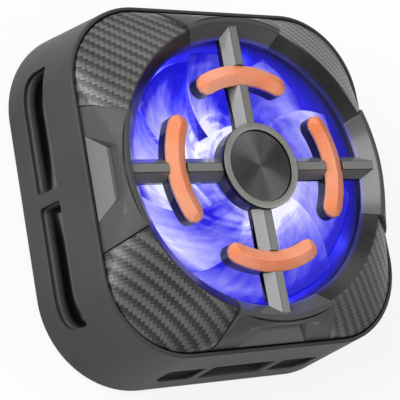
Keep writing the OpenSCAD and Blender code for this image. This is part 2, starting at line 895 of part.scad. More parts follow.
// Place of a supply lead, over the control board and under the lamp board
function supply_y() = board_back + 2 * lead_r;
function supply_x() = sqrt(max(lead_r, lamp_ring_r * lamp_ring_r - supply_y() * supply_y()));

module fan_bearing() {
    color("#b08d57")
        translate([0, 0, z_bearing])
            difference() {
                cylinder(r = bearing_r, h = z_bearing_top - z_bearing);
                translate([0, 0, -over])
                    cylinder(r = shaft_hole_r, h = z_bearing_top - z_bearing + 2 * over);
            }
}

// Laminated core: a ring on the bearing tube, with arms and pole shoes
module stator_core() {
    shoe_t = arm_w / 2;
    shoe_angle = 360 / pole_count * shoe_share;
    hub_out = stator_bore + shoe_t;
    color("#7d8085")
        translate([0, 0, z_stator])
            difference() {
                union() {
                    cylinder(r = hub_out, h = stator_h);
                    for (i = [0:pole_count - 1])
                        rotate([0, 0, 360 / pole_count * i]) {
                            translate([0, -arm_w / 2, 0])
                                cube([stator_r - shoe_t / 2, arm_w, stator_h]);
                            rotate([0, 0, -shoe_angle / 2])
                                rotate_extrude(angle = shoe_angle)
                                    translate([stator_r - shoe_t, 0])
                                        square([shoe_t, stator_h]);
                        }
                }
                translate([0, 0, -over])
                    cylinder(r = stator_bore, h = stator_h + 2 * over);
            }
}

// Copper coil round each arm
module stator_windings() {
    inner = stator_bore + arm_w / 2 + winding_t;
    width = arm_w + 2 * winding_t;
    outer = sqrt(pow(stator_r - arm_w / 2 - 2 * fit_gap, 2) - pow(width / 2, 2));
    color("#b8703a")
        for (i = [0:pole_count - 1])
            rotate([0, 0, 360 / pole_count * i])
                difference() {
                    translate([inner, -width / 2, z_stator - winding_t])
                        cube([outer - inner, width, stator_h + 2 * winding_t]);
                    translate([inner - over, -arm_w / 2 - fit_gap, z_stator - fit_gap])
                        cube([outer - inner + 2 * over, arm_w + 2 * fit_gap, stator_h + 2 * fit_gap]);
                }
}

// Flat ring of circuit board
module ring_board(inner_r, outer_r) {
    translate([0, 0, z_ring_board])
        difference() {
            cylinder(r = outer_r, h = ring_board_t);
            translate([0, 0, -over])
                cylinder(r = inner_r, h = ring_board_t + 2 * over);
        }
}

module motor_board() {
    color("#1f5a3a")
        ring_board(stator_bore, motor_board_r);
}

module lamp_board() {
    color("#e8e8ea")
        ring_board(ledge_r + drop_gap, duct_r - drop_gap / 2);
}

// Blue lamps that light the impeller from below
module lamps() {
    color("#5560ff")
        for (i = [0:lamp_count - 1])
            rotate([0, 0, 360 / lamp_count * (i + 0.5)])
                translate([lamp_ring_r - lamp_w / 2, -lamp_w / 2, z_ring_board + ring_board_t])
                    cube([lamp_w, lamp_w, lamp_h]);
}

// Two leads along a strut, from the motor board to the lamp board
module fan_leads() {
    from = motor_board_r;
    to = ledge_r + drop_gap / 2;
    color("#202022")
        for (side = [-1, 1])
            translate([side * 2 * lead_r, -from, z_ring_board + lead_r + fit_gap])
                rotate([90, 0, 0])
                    cylinder(r = lead_r, h = to - from, $fn = 32);
}

// Two leads from the lamp board down to the control board
module supply_leads() {
    color("#202022")
        for (side = [-1, 1])
            translate([side * supply_x(), -supply_y(), z_board + board_t])
                cylinder(r = lead_r, h = z_ring_board - z_board - board_t, $fn = 32);
}

// Outline of one blade: a swept band from the hub to the tip
module blade_outline() {
    steps = 7;
    root = hub_cup_r - hub_cup_t / 2;
    function edge(i, side) =
        let (r = root + (blade_r - root) * i / steps,
            a = -blade_sweep * pow(i / steps, 1.5) + side * blade_t / r * 90 / PI)
        [r * cos(a), r * sin(a)];
    polygon(concat([for (i = [0:steps]) edge(i, -1)], [for (i = [steps:-1:0]) edge(i, 1)]));
}

// Hub cup and swept blades of clear plastic
module impeller() {
    color("#9d9af5") {
        difference() {
            translate([0, 0, z_rotor_low])
                cylinder(r = hub_cup_r, h = z_hub_top - z_rotor_low);
            translate([0, 0, z_rotor_low - over])
                cylinder(r = hub_cup_r - hub_cup_t, h = z_yoke_top - z_rotor_low + over);
            translate([0, 0, z_yoke_top - over])
                cylinder(r = shaft_r + fit_gap / 2, h = over + shaft_grip);
        }
        for (i = [0:blade_count - 1])
            rotate([0, 0, 360 / blade_count * i])
                translate([0, 0, z_blade])
                    linear_extrude(height = z_blade_top - z_blade, twist = -blade_twist, slices = 9, $fn = 16)
                        blade_outline();
    }
}

module rotor_yoke() {
    color("#8a8d91")
        difference() {
            translate([0, 0, z_rotor_low])
                cylinder(r = yoke_r, h = z_yoke_top - z_rotor_low);
            translate([0, 0, z_rotor_low - over])
                cylinder(r = yoke_r - yoke_t, h = z_yoke_top - yoke_t - z_rotor_low + over);
            translate([0, 0, z_rotor_low])
                cylinder(r = shaft_r + fit_gap / 2, h = z_yoke_top);
        }
}

module rotor_magnet() {
    low = z_rotor_low + fit_gap;
    high = z_yoke_top - yoke_t - fit_gap;
    color("#4b4d51")
        translate([0, 0, low])
            difference() {
                cylinder(r = rotor_magnet_r, h = high - low);
                translate([0, 0, -over])
                    cylinder(r = rotor_magnet_r - rotor_magnet_t, h = high - low + 2 * over);
            }
}

module fan_shaft() {
    low = z_tube_floor + drop_gap;
    high = z_yoke_top + shaft_grip - fit_gap;
    color("#c6c9cc")
        translate([0, 0, low])
            cylinder(r = shaft_r, h = high - low);
}

// Clip on the shaft's end, under the bearing
module shaft_clip() {
    low = z_tube_floor + drop_gap + fit_gap;
    high = z_bearing - fit_gap;
    color("#e2e2e0")
        translate([0, 0, low])
            difference() {
                cylinder(r = bearing_r - drop_gap, h = high - low);
                translate([0, 0, -over])
                    cylinder(r = shaft_r + fit_gap / 2, h = high - low + 2 * over);
            }
}

// Sloped front with its ring, funnel, raised side panels and snap hooks
module front_cover() {
    color("#4e4e50") {
        difference() {
            union() {
                loft(z_front - panel_t, z_seat, ring_r + ring_flat, z_ring - panel_t);
                intersection() {
                    loft(z_front, z_seat, ring_r + rim_flat, z_rim);
                    for (i = [0:3])
                        rotate([0, 0, 90 * i])
                            panel_wedge(0);
                }
            }
            hull() {
                rounded_slab(inner_reach(z_seat), z_seat - over, over + lip_t);
                translate([0, 0, z_lip - lip_t])
                    cylinder(r = guard_ring_r + drop_gap, h = lip_t, $fn = 128);
            }
            funnel(0);
            for (i = [0:3])
                rotate([0, 0, 90 * i])
                    panel_pocket();
        }
        for (i = [0:3])
            rotate([0, 0, 90 * i])
                hook(0);
    }
}

// Cut of the sunk facet in the +X side panel: a sloping floor with an upright wall at its inner edge
module panel_pocket() {
    depth = pocket_len * cos(pocket_angle);
    rise = pocket_len * sin(pocket_angle);
    spread = (pocket_half_out - pocket_half_in) / depth;
    half = pocket_half_out + 2 * over;
    intersection() {
        translate([outline_half, half, z_front])
            rotate([90, 0, 0])
                linear_extrude(height = 2 * half)
                    polygon([
                        [over, -over * tan(pocket_angle)],
                        [-depth - over, (depth + over) * tan(pocket_angle)],
                        [-depth - over, 3 * rise],
                        [over, 3 * rise]]);
        translate([outline_half, 0, z_front - 2 * over])
            linear_extrude(height = 3 * rise + 3 * over)
                polygon([
                    [over, -pocket_half_out - over * spread],
                    [-depth, -pocket_half_in],
                    [-depth, pocket_half_in],
                    [over, pocket_half_out + over * spread]]);
    }
}

// Woven-look panel over one corner of the front cover
module corner_panel(turn) {
    color("#5a5a5c")
        rotate([0, 0, turn])
            intersection() {
                difference() {
                    loft(z_front, z_front - panel_t + fit_gap, ring_r + ring_flat, z_ring);
                    translate([0, 0, fit_gap - panel_t])
                        loft(z_front, z_seat - over, ring_r + ring_flat, z_ring);
                    funnel(0);
                    panel_wedge(fit_gap);
                    rotate([0, 0, 90])
                        panel_wedge(fit_gap);
                }
                translate([panel_half_in, panel_half_in, z_seat])
                    cube([case_back_w, case_back_w, z_rim - z_seat]);
            }
}

module corner_panel_ne() {
    corner_panel(0);
}

module corner_panel_nw() {
    corner_panel(90);
}

module corner_panel_sw() {
    corner_panel(180);
}

module corner_panel_se() {
    corner_panel(270);
}

// Four spokes, hub and arc seats, on a ring that the front cover clamps
module fan_guard() {
    half = spoke_w / 2;
    face = spoke_face / 2;
    z_slope = z_spoke - spoke_slope_h;
    color("#6e6e6c")
        difference() {
            union() {
                translate([0, 0, z_guard])
                    difference() {
                        cylinder(r = guard_ring_r, h = guard_ring_t);
                        translate([0, 0, -over])
                            cylinder(r = funnel_r, h = guard_ring_t + 2 * over);
                    }
                intersection() {
                    for (turn = [0, 90])
                        rotate([90, 0, turn])
                            linear_extrude(height = 2 * ring_r, center = true)
                                polygon([[-half, z_spoke_low], [half, z_spoke_low], [half, z_slope],
                                    [face, z_spoke], [-face, z_spoke], [-half, z_slope]]);
                    union() {
                        funnel(fit_gap);
                        translate([0, 0, z_guard])
                            cylinder(r = funnel_r + guard_ring_w / 2, h = guard_ring_t);
                    }
                }
                translate([0, 0, z_spoke_low])
                    cylinder(r = hub_seat_r, h = z_spoke - z_spoke_low);
                for (i = [0:3])
                    rotate([0, 0, 90 * i])
                        arc_bar(accent_half_w, z_spoke_low, z_accent - z_spoke_low);
            }
            for (i = [0:3])
                rotate([0, 0, 90 * i])
                    arc_bar(accent_half_w + fit_gap, z_accent, accent_sink + over);
            translate([0, 0, z_hub])
                cylinder(r = hub_r + fit_gap, h = hub_ring_h + over);
        }
}

// Hip-roofed orange arc over one spoke
module accent_arc(turn) {
    inner = accent_mid_r - accent_half_w;
    outer = accent_mid_r + accent_half_w;
    edge = z_accent + accent_edge_h;
    ridge = edge + accent_hip_h;
    color("#f28b52")
        rotate([0, 0, turn]) {
            rotate([0, 0, -accent_half_angle])
                rotate_extrude(angle = 2 * accent_half_angle)
                    polygon([[inner, z_accent], [outer, z_accent], [outer, edge],
                        [accent_mid_r, ridge], [inner, edge]]);
            for (side = [-1, 1])
                rotate([0, 0, side * accent_half_angle])
                    translate([accent_mid_r, 0, 0])
                        rotate_extrude()
                            polygon([[0, z_accent], [accent_half_w, z_accent],
                                [accent_half_w, edge], [0, ridge]]);
        }
}

module accent_arc_e() {
    accent_arc(0);
}

module accent_arc_n() {
    accent_arc(90);
}

module accent_arc_w() {
    accent_arc(180);
}

module accent_arc_s() {
    accent_arc(270);
}

// Bright trim round the hub
module hub_ring() {
    color("#8c8c88")
        translate([0, 0, z_hub])
            difference() {
                cylinder(r = hub_r, h = hub_ring_h);
                translate([0, 0, -over])
                    cylinder(r = hub_r - hub_ring_w, h = hub_ring_h + 2 * over);
            }
}

// Dark spun disc inside the trim ring
module hub_disc() {
    color("#3a3a3a")
        translate([0, 0, z_hub])
            cylinder(r = hub_r - hub_ring_w - fit_gap, h = hub_ring_h - disc_drop);
}

case_shell();
back_cover();
contact_ring();
cold_plate();
peltier_cold_face();
peltier_pellets();
peltier_hot_face();
peltier_leads();
insulation_gasket();
magnets();
shield_ring();
heat_sink();
heat_sink_screws();
case_screws();
main_board();
usb_shell();
usb_tongue();
control_chip();
power_inductor();
capacitors();
board_screws();
fan_frame();
fan_screws();
fan_bearing();
stator_core();
stator_windings();
motor_board();
lamp_board();
lamps();
fan_leads();
supply_leads();
impeller();
rotor_yoke();
rotor_magnet();
fan_shaft();
shaft_clip();
front_cover();
corner_panel_ne();
corner_panel_nw();
corner_panel_sw();
corner_panel_se();
fan_guard();
accent_arc_e();
accent_arc_n();
accent_arc_w();
accent_arc_s();
hub_ring();
hub_disc();
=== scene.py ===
import math

import bmesh
import bpy
import numpy as np
from mathutils import Matrix, Vector


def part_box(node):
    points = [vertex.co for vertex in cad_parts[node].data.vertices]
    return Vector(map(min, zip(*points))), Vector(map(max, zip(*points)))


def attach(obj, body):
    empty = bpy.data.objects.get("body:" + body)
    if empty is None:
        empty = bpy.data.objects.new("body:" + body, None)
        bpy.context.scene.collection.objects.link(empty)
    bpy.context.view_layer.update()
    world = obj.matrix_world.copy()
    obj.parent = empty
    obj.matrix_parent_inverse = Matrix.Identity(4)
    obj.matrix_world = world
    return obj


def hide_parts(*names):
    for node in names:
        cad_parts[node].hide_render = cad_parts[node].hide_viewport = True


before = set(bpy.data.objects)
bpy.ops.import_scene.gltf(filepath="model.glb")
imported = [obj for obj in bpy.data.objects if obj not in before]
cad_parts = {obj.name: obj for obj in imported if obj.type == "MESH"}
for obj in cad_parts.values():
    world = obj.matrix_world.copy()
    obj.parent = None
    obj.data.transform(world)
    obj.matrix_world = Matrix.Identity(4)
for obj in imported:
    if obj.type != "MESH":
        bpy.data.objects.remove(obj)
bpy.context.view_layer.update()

# Case wall
# The tapered square wall of the case is one moulding of satin black plastic, with vents through every side.
# One side also has a recess for a charging plug, and the front cover drops in behind the front lip.

MM = 0.001
CORNER = 16.3
CASE_BACK, CASE_FRONT = (corner[2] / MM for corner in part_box("case_shell"))
BACK_REACH, FRONT_REACH = 17.6, 15.3
BACK_ROUND = 0.6
WALL = 2.2
LIP_REACH, LIP_ROUND, LIP_EDGE = 14.65, 0.38, 0.12
SEAT = 18.25
TAPER = math.atan((BACK_REACH - FRONT_REACH) / (CASE_FRONT - CASE_BACK))
TILE_LOW, TILE_HIGH, TILE_ROWS = 4.8, 13.4, 14
SIDE_END, SIDE_COLUMNS = 25.4, 28
CORNER_STEPS = 26
VENT_LOW, VENT_HIGH = 6.0, 12.1
VENT_NEAR, VENT_FAR = 1.2, 23.2
PORT_NEAR, PORT_FAR = 8.5, 16.4
PORT_START, PORT_END, PORT_COLUMNS = 7.575, 17.2, 16
PLAIN_COLUMNS = 9
VENT_ROUNDS = (1.0, 2.6, 0.5, 0.4)
VENT_RIM = 0.18
VENT_STEPS = ((0.0, 0.35), (0.28, 0.42), (0.28, 0.85), (0.0, 0.9), (-0.1, 0.95), (-0.19, 1.05), (-0.27, 1.22),
              (-0.32, 1.46), (-0.34, 1.8), (-0.34, 2.0), (0.0, 2.2))
SILL, SILL_RISE, SILL_TILT, SILL_THICK = 1.9, 0.3, 0.5, 0.55
SILL_TOP, SILL_FADE, SILL_STEEP = 2.8, 2.0, 9.0
RECESS_HALF, RECESS_ROUND, RECESS_RIM, RECESS_FOOT = 6.65, 0.5, 0.4, 0.3
RECESS_FLOOR, RECESS_BACK, RECESS_WALL, RECESS_COLUMNS = 30.29, 29.09, 0.8, 22
SOCKET_HEIGHT, SOCKET_HALF, SOCKET_RISE = 9.05, 4.67, 1.8
SOCKET_ROUND, SOCKET_RIM = 1.78, 0.15


def grid(points, wrap=(False, False)):
    """Quads between the neighbouring points of a grid, closed on itself along the axes named in wrap."""
    index = np.arange(points.shape[0] * points.shape[1]).reshape(points.shape[:2])
    if wrap[0]:
        index = np.concatenate([index, index[:1]], 0)
    if wrap[1]:
        index = np.concatenate([index, index[:, :1]], 1)
    quads = np.stack([index[:-1, :-1], index[1:, :-1], index[1:, 1:], index[:-1, 1:]], -1)
    return points.reshape(-1, 3), quads.reshape(-1, 4)


def stacked(*axes):
    """Points from their coordinates, each spread to the shape of all."""
    return np.stack(np.broadcast_arrays(*axes), -1)


def turned(points, quarter):
    """Points after a number of quarter turns about the fan's axis."""
    c, s = ((1, 0), (0, 1), (-1, 0), (0, -1))[quarter % 4]
    x, y, z = np.moveaxis(points, -1, 0)
    return stacked(c * x - s * y, s * x + c * y, z)


def placed(name, data):
    """New object of the scene that shows a mesh, a lamp or a camera."""
    made = bpy.data.objects.new(name, data)
    bpy.context.scene.collection.objects.link(made)
    return made


def fitted(name, mesh, finish, node, body, sharp):
    """Object of a mesh with one finish: it keeps the edges sharper than an angle, rides on a body and stands
    for a CAD node."""
    mesh.shade_smooth()
    mesh.set_sharp_from_angle(angle=math.radians(sharp))
    mesh.materials.clear()
    mesh.materials.append(finish)
    made = placed(name, mesh)
    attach(made, body)
    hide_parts(node)
    return made


def piece(name, patches, finish, node, body="housing", sharp=32, even=True, quarter=0):
    """One object from patches of points in millimetres, after quarter turns: doubles merged, faces turned
    outwards, sharp edges kept, and large faces given the say over the normals they share."""
    counts = np.cumsum([0] + [len(points) for points, _ in patches])
    points = turned(np.concatenate([points for points, _ in patches]), quarter) * MM
    quads = np.concatenate([quads + start for (_, quads), start in zip(patches, counts)])
    mesh = bpy.data.meshes.new(name)
    mesh.from_pydata(points.tolist(), [], quads.tolist())
    work = bmesh.new()
    work.from_mesh(mesh)
    bmesh.ops.remove_doubles(work, verts=work.verts, dist=0.002 * MM)
    bmesh.ops.dissolve_degenerate(work, edges=work.edges, dist=0.001 * MM)
    bmesh.ops.recalc_face_normals(work, faces=work.faces)
    work.to_mesh(mesh)
    work.free()
    made = fitted(name, mesh, finish, node, body, sharp)
    if even:
        made.modifiers.new("even_normals", "WEIGHTED_NORMAL").keep_sharp = True


def wall_reach(z):
    """Reach of the wall's outer face beyond the corner centres: a straight taper from back to front."""
    return BACK_REACH - (z - CASE_BACK) * math.tan(TAPER)


def side_point(u, z, depth):
    """Point of the -Y wall, a depth behind its face: straight along u, then round the corner's centre."""
    reach = wall_reach(z) - depth
    past = np.maximum(np.abs(u) - CORNER, 0)
    return stacked(u, -CORNER - np.sqrt(reach**2 - past**2), z)


def corner_point(t, z, reach):
    """Point of the round corner between the -Y and +X walls: t runs from one side's end to the other's."""
    start = np.arcsin((SIDE_END - CORNER) / reach)
    angle = start - math.pi / 2 + t * (math.pi / 2 - 2 * start)
    return stacked(CORNER + reach * np.cos(angle), reach * np.sin(angle) - CORNER, z)


def rectangle_loop(low, high, counts):
    """Closed loop round a rectangle, with a number of points along each of its two directions."""
    u, z = (np.linspace(*limits) for limits in zip(low, high, counts))
    sides = ((u[:-1], z[0]), (u[-1], z[:-1]), (u[:0:-1], z[-1]), (u[0], z[:0:-1]))
    return np.concatenate([stacked(*side) for side in sides])


def rounded_loop(low, high, radii, counts, outset=0.0, half=4):
    """Closed loop round a rectangle with round corners, point for point beside rectangle_loop: each side
    starts and ends in the middle of a corner's arc, and outset moves the whole loop outwards."""
    outward = np.array([[-1, -1], [1, -1], [1, 1], [-1, 1]])
    corners = np.where(outward < 0, low, high) + outset * outward
    bend = np.linspace(math.pi / 4, 0, half + 1)[:, None]
    sides = []
    for i, along in enumerate(np.array([[1, 0], [0, 1], [-1, 0], [0, -1]], float)):
        inward = np.array([-along[1], along[0]])
        r0, r1 = radii[i] + outset, radii[(i + 1) % 4] + outset
        first, last = corners[i] + r0 * along, corners[(i + 1) % 4] - r1 * along
        start = first + r0 * inward - r0 * (np.cos(bend) * inward + np.sin(bend) * along)
        stop = last + r1 * inward - r1 * (np.cos(bend[::-1]) * inward - np.sin(bend[::-1]) * along)
        share = np.linspace(0, 1, counts[i % 2] - 2 * half)[1:-1, None]
        sides.append(np.concatenate([start, first + share * (last - first), stop])[:-1])
    return np.concatenate(sides)


def rim_steps(radius):
    """Outsets and depths over a rounded rim, from the face into the hole."""
    bend = np.linspace(0, math.pi / 2, 6)
    return zip(radius * (1 - np.sin(bend)), radius * (1 - np.cos(bend)))


def vented_tile(start, stop, near, far, columns, sill=0.0):
    """Tile of the wall round a vent: rings from its edge over the outer rim, past a shadow gap and over the
    round of an inner frame, which stands a little into the opening. On the back side of a vent with a sill
    the frame runs on inwards by that length, curving up, and more steeply near the middle of the wall."""
    counts = (columns, TILE_ROWS)
    hole = ((near, VENT_LOW), (far, VENT_HIGH), VENT_ROUNDS, counts)
    border = rectangle_loop((start, TILE_LOW), (stop, TILE_HIGH), counts).T
    rings = [side_point(*border, 0.0)]
    for outset, depth in (*rim_steps(VENT_RIM), *VENT_STEPS[:-1]):
        u, z = rounded_loop(*hole, outset).T
        rings.append(side_point(u, z, depth))
    if sill:
        reach = sill * np.clip((SILL_TOP - (z - z.min())) / SILL_FADE, 0, 1)
        steep = SILL_TILT * np.clip(1 - (u - near) / SILL_STEEP, 0, 1) ** 1.5
        rings += [side_point(u, z + reach * (SILL_RISE * t**3 + steep * t), depth + reach * t)
                  for t in np.linspace(0, 1, 9)[1:]]
        rings.append(side_point(u, z - reach * SILL_THICK, depth + reach))
    outset, depth = VENT_STEPS[-1]
    rings.append(side_point(*rounded_loop(*hole, outset).T, depth))
    rings.append(side_point(*border, WALL))
    return np.stack(rings)


def recess_tile():
    """Tile of the wall round the plug recess: rings over its rim, down to its flat floor, through the
    socket's flat oval, and back outside the recess to the wall's inner face."""
    counts = (RECESS_COLUMNS, TILE_ROWS)
    hole = ((-RECESS_HALF, VENT_LOW), (RECESS_HALF, VENT_HIGH), (RECESS_ROUND,) * 4, counts)
    oval = ((-SOCKET_HALF, SOCKET_HEIGHT - SOCKET_RISE), (SOCKET_HALF, SOCKET_HEIGHT + SOCKET_RISE),
            (SOCKET_ROUND,) * 4, counts)
    border = rectangle_loop((-PORT_START, TILE_LOW), (PORT_START, TILE_HIGH), counts).T

    def level(shape, outset, distance):
        u, z = rounded_loop(*shape, outset).T
        return stacked(u, -distance, z)

    rings = [side_point(*border, 0.0)]
    for outset, depth in rim_steps(RECESS_RIM):
        rings.append(side_point(*rounded_loop(*hole, outset).T, depth))
    rings += [level(hole, -inset, RECESS_FLOOR + rise) for rise, inset in rim_steps(RECESS_FOOT)]
    rings += [level(oval, outset, RECESS_FLOOR - depth) for outset, depth in rim_steps(SOCKET_RIM)]
    rings += [level(oval, 0, RECESS_BACK), level(hole, RECESS_WALL, RECESS_BACK)]
    rings.append(side_point(*rounded_loop(*hole, RECESS_WALL).T, WALL))
    rings.append(side_point(*border, WALL))
    return np.stack(rings)


class Shade:
    """A socket of a finish's node tree. Arithmetic on values adds Math nodes, and add() any other node."""

    def __init__(self, tree, socket=None):
        self.tree, self.socket = tree, socket

    def add(self, kind, settings, sockets, out=0):
        """One node: its settings first, a ramp's stops among them, then each socket's value or link."""
        node = self.tree.nodes.new("ShaderNode" + kind)
        for key, value in settings.items():
            if key == "stops":
                ramp = node.color_ramp.elements
                while len(ramp) < len(value):
                    ramp.new(0.5)
                for stop, (position, colour) in zip(ramp, value):
                    stop.position, stop.color = position, colour
            else:
                setattr(node, key, value)
        for key, value in sockets.items():
            if isinstance(value, Shade):
                self.tree.links.new(value.socket, node.inputs[key])
            else:
                node.inputs[key].default_value = value
        return Shade(self.tree, node.outputs[out])

    def math(self, operation, *values):
        return self.add("Math", {"operation": operation}, dict(enumerate(values)))

    def sign(operation):
        """Method for an arithmetic sign between this value and another."""
        return lambda self, other: self.math(operation, self, other)

    __add__ = __radd__ = sign("ADD")
    __sub__ = sign("SUBTRACT")
    __mul__ = __rmul__ = sign("MULTIPLY")
    __truediv__ = sign("DIVIDE")
    __pow__ = sign("POWER")
    __lt__ = sign("LESS_THAN")
    __gt__ = sign("GREATER_THAN")

    def __rsub__(self, other):
        return self.math("SUBTRACT", other, self)

    def __abs__(self):
        return self.math("ABSOLUTE", self)

    def split(self):
        """The three parts of a vector."""
        node = self.add("SeparateXYZ", {}, {0: self}).socket.node
        return [Shade(self.tree, output) for output in node.outputs]

    def between(self, low, high):
        """How far a value is from low to high, kept between 0 and 1 with soft ends."""
        return self.add("MapRange", {"interpolation_type": "SMOOTHSTEP"}, {0: self, 1: low, 2: high})

    def blend(self, *colours):
        """Colour from one hex code or socket to another, as this value goes from 0 to 1."""
        first, second = (tint(colour) if isinstance(colour, str) else colour for colour in colours)
        return self.add("Mix", {"data_type": "RGBA"}, {0: self, 6: first, 7: second}, 2)

    def painted_emission(self, colour):
        """Sockets of a surface that gives off a colour where this value is 1, and none where it is 0: painted
        light on parts that are no lamps.
        """
        return {"Emission Color": self.blend("000000", colour), "Emission Strength": 1.0}

    def noise(self, place, scale, detail=2.0):
        """Cloudy pattern of features about 1 / scale metres wide, mostly between 0.3 and 0.7."""
        return self.add("TexNoise", {}, {"Vector": place, "Scale": scale, "Detail": detail})

    def bump(self, height, strength, distance):
        """Normal of a surface whose relief is height times distance."""
        return self.add("Bump", {}, {"Strength": strength, "Distance": distance, "Height": height})

    def end(self):
        """Makes this surface the tree's own."""
        self.tree.links.new(self.socket, self.tree.nodes.new("ShaderNodeOutputMaterial").inputs[0])

    def skin(self, sockets):
        """Ends the tree in a surface with these values."""
        self.add("BsdfPrincipled", {}, sockets).end()


def tint(code):
    """Colour written as six hex digits, as a lit surface shows it, in linear light."""
    parts = [int(code[i:i + 2], 16) / 255 for i in (0, 2, 4)]
    return (*[p / 12.92 if p <= 0.04045 else ((p + 0.055) / 1.055) ** 2.4 for p in parts], 1.0)


def new_finish(name):
    """Empty material, with the shade that adds to its tree and the object's own coordinates."""
    finish = bpy.data.materials.new(name)
    finish.use_nodes = True
    finish.node_tree.nodes.clear()
    shade = Shade(finish.node_tree)
    return finish, shade, shade.add("TexCoord", {}, {}, "Object")


tile_z = np.linspace(TILE_LOW, TILE_HIGH, TILE_ROWS)
vent_span = np.linspace(0, SIDE_END, SIDE_COLUMNS)
vent_sides = np.concatenate([-vent_span[:0:-1], vent_span])
port_breaks = (-SIDE_END, -PORT_END, -PORT_START, PORT_START, PORT_END, SIDE_END)
port_counts = (PLAIN_COLUMNS, PORT_COLUMNS, RECESS_COLUMNS, PORT_COLUMNS, PLAIN_COLUMNS)
port_side = np.unique(np.concatenate([
    np.linspace(*limits) for limits in zip(port_breaks, port_breaks[1:], port_counts)]).round(9))
corner_t = np.linspace(0, 1, CORNER_STEPS)


def wall_strip(profile):
    """Rows of reach and height carried round the whole case, side by side and corner by corner."""
    reach, z = (np.array(column)[:, None] for column in zip(*profile))
    columns = []
    for quarter, u in enumerate((port_side, vent_sides, vent_sides, vent_sides)):
        columns.append(turned(side_point(u[None], z, wall_reach(z) - reach), quarter))
        columns.append(turned(corner_point(corner_t[None, 1:-1], z, reach), quarter))
    return grid(np.concatenate(columns, 1), (False, True))


def arc(centre, radius, start, stop, steps=7):
    """Points of reach and height round a centre, between two angles in radians."""
    angles = np.linspace(start, stop, steps)
    return [(centre[0] + radius * math.cos(a), centre[1] + radius * math.sin(a)) for a in angles]


def tangent_centre(z, radius):
    """Centre of a round of that radius, at height z, that the wall's outer face runs into."""
    return wall_reach(z + radius * math.sin(TAPER)) - radius * math.cos(TAPER), z


back_profile = [(wall_reach(z), z) for z in np.linspace(TILE_LOW, 2.0, 4)]
back_profile += arc(tangent_centre(CASE_BACK + BACK_ROUND, BACK_ROUND), BACK_ROUND, TAPER, -math.pi / 2)
back_profile += [(BACK_REACH - WALL + 0.15, CASE_BACK), (wall_reach(1.0) - WALL, 1.0)]
back_profile += [(wall_reach(z) - WALL, z) for z in (2.5, TILE_LOW)]
front_profile = [(wall_reach(z), z) for z in np.linspace(TILE_HIGH, CASE_FRONT - 0.5, 5)]
front_profile += arc(tangent_centre(CASE_FRONT - LIP_ROUND, LIP_ROUND), LIP_ROUND, TAPER, math.pi / 2)
front_profile += arc((LIP_REACH + LIP_EDGE, CASE_FRONT - LIP_EDGE), LIP_EDGE, math.pi / 2, math.pi, 4)
front_profile += [(LIP_REACH, SEAT), (wall_reach(SEAT) - WALL, SEAT)]
front_profile += [(wall_reach(z) - WALL, z) for z in (16.0, TILE_HIGH)]

wall_patches = [wall_strip(back_profile), wall_strip(front_profile)]
for quarter in range(4):
    for depth in (0.0, WALL):
        band = corner_point(corner_t[None], tile_z[:, None], wall_reach(tile_z[:, None]) - depth)
        wall_patches.append(grid(turned(band, quarter)))
vent = vented_tile(0, SIDE_END, VENT_NEAR, VENT_FAR, SIDE_COLUMNS, SILL)
port = vented_tile(PORT_START, PORT_END, PORT_NEAR, PORT_FAR, PORT_COLUMNS)
plain_u = np.linspace(PORT_END, SIDE_END, PLAIN_COLUMNS)[None]
for side in (1, -1):
    for quarter in (1, 2, 3):
        wall_patches.append(grid(turned(vent * (side, 1, 1), quarter), (False, True)))
    wall_patches.append(grid(port * (side, 1, 1), (False, True)))
    for depth in (0.0, WALL):
        wall_patches.append(grid(side_point(plain_u, tile_z[:, None], depth) * (side, 1, 1)))
wall_patches.append(grid(recess_tile(), (False, True)))

PILLAR, PILLAR_R, PILLAR_BORE = 24.82, 1.9, 0.85
PILLAR_LOW, PILLAR_HIGH = 2.4, 12.65
pillar_section = ((PILLAR_BORE, PILLAR_LOW), (PILLAR_R, PILLAR_LOW), (PILLAR_R, PILLAR_HIGH),
                  (PILLAR_BORE, PILLAR_HIGH))
round_turn = np.linspace(0, 2 * math.pi, 32, endpoint=False)
pillar_loop = stacked(np.cos(round_turn), np.sin(round_turn), 0)
pillar = np.stack([pillar_loop * radius + (PILLAR, PILLAR, z) for radius, z in pillar_section])
wall_patches += [grid(turned(pillar, quarter), (True, True)) for quarter in range(4)]

DRIFT, GRAIN, GRAIN_DEPTH = 70.0, 3600.0, 0.02 * MM
VENT_SHADE = (1.4, 2.4)
finish, shade, place = new_finish("case_plastic")
x, y, z = (abs(axis / MM) for axis in place.split())
past_x, past_y = (shade.math("MAXIMUM", axis - CORNER, 0.0) for axis in (x, y))
depth = BACK_REACH - (z - CASE_BACK) * math.tan(TAPER) - (past_x * past_x + past_y * past_y) ** 0.5
# painted shade: the vents' inner faces, from 1.4 to 2.4 mm into the wall, are painted near black; they are
# also made glossier
inside = depth.between(*VENT_SHADE) * (z < TILE_HIGH)
drift, grain = shade.noise(place, DRIFT, 3.0), shade.noise(place, GRAIN)
tone = (drift * 0.7 + grain * 0.3).between(0.3, 0.7).blend("38383a", "424243")
shade.skin({
    "Base Color": inside.blend(tone, "0b0b0c"),
    "Roughness": 0.42 - inside * 0.2 + (grain - 0.5) * 0.12 + (drift - 0.5) * 0.1, "IOR": 1.3,
    "Coat Weight": inside * 0.14, "Coat Roughness": 0.22, "Normal": shade.bump(grain, 0.35, GRAIN_DEPTH)})
piece("case_wall", wall_patches, finish, "case_shell")

# Back cover, contact ring and cold plate
# A flat black cover closes the back of the case with four screws. A turned aluminium plate stands through
# its middle to touch the phone, and a silicone ring round the plate grips the phone's back.


def lathe(profile, steps=192, wrap=False):
    """Profile of radius and height turned about the fan's axis; wrap closes a ring's profile on itself."""
    radius, z = (np.array(column)[:, None] for column in zip(*profile))
    angle = np.linspace(0, 2 * math.pi, steps, endpoint=False)[None]
    return grid(stacked(radius * np.cos(angle), radius * np.sin(angle), z), (wrap, True))


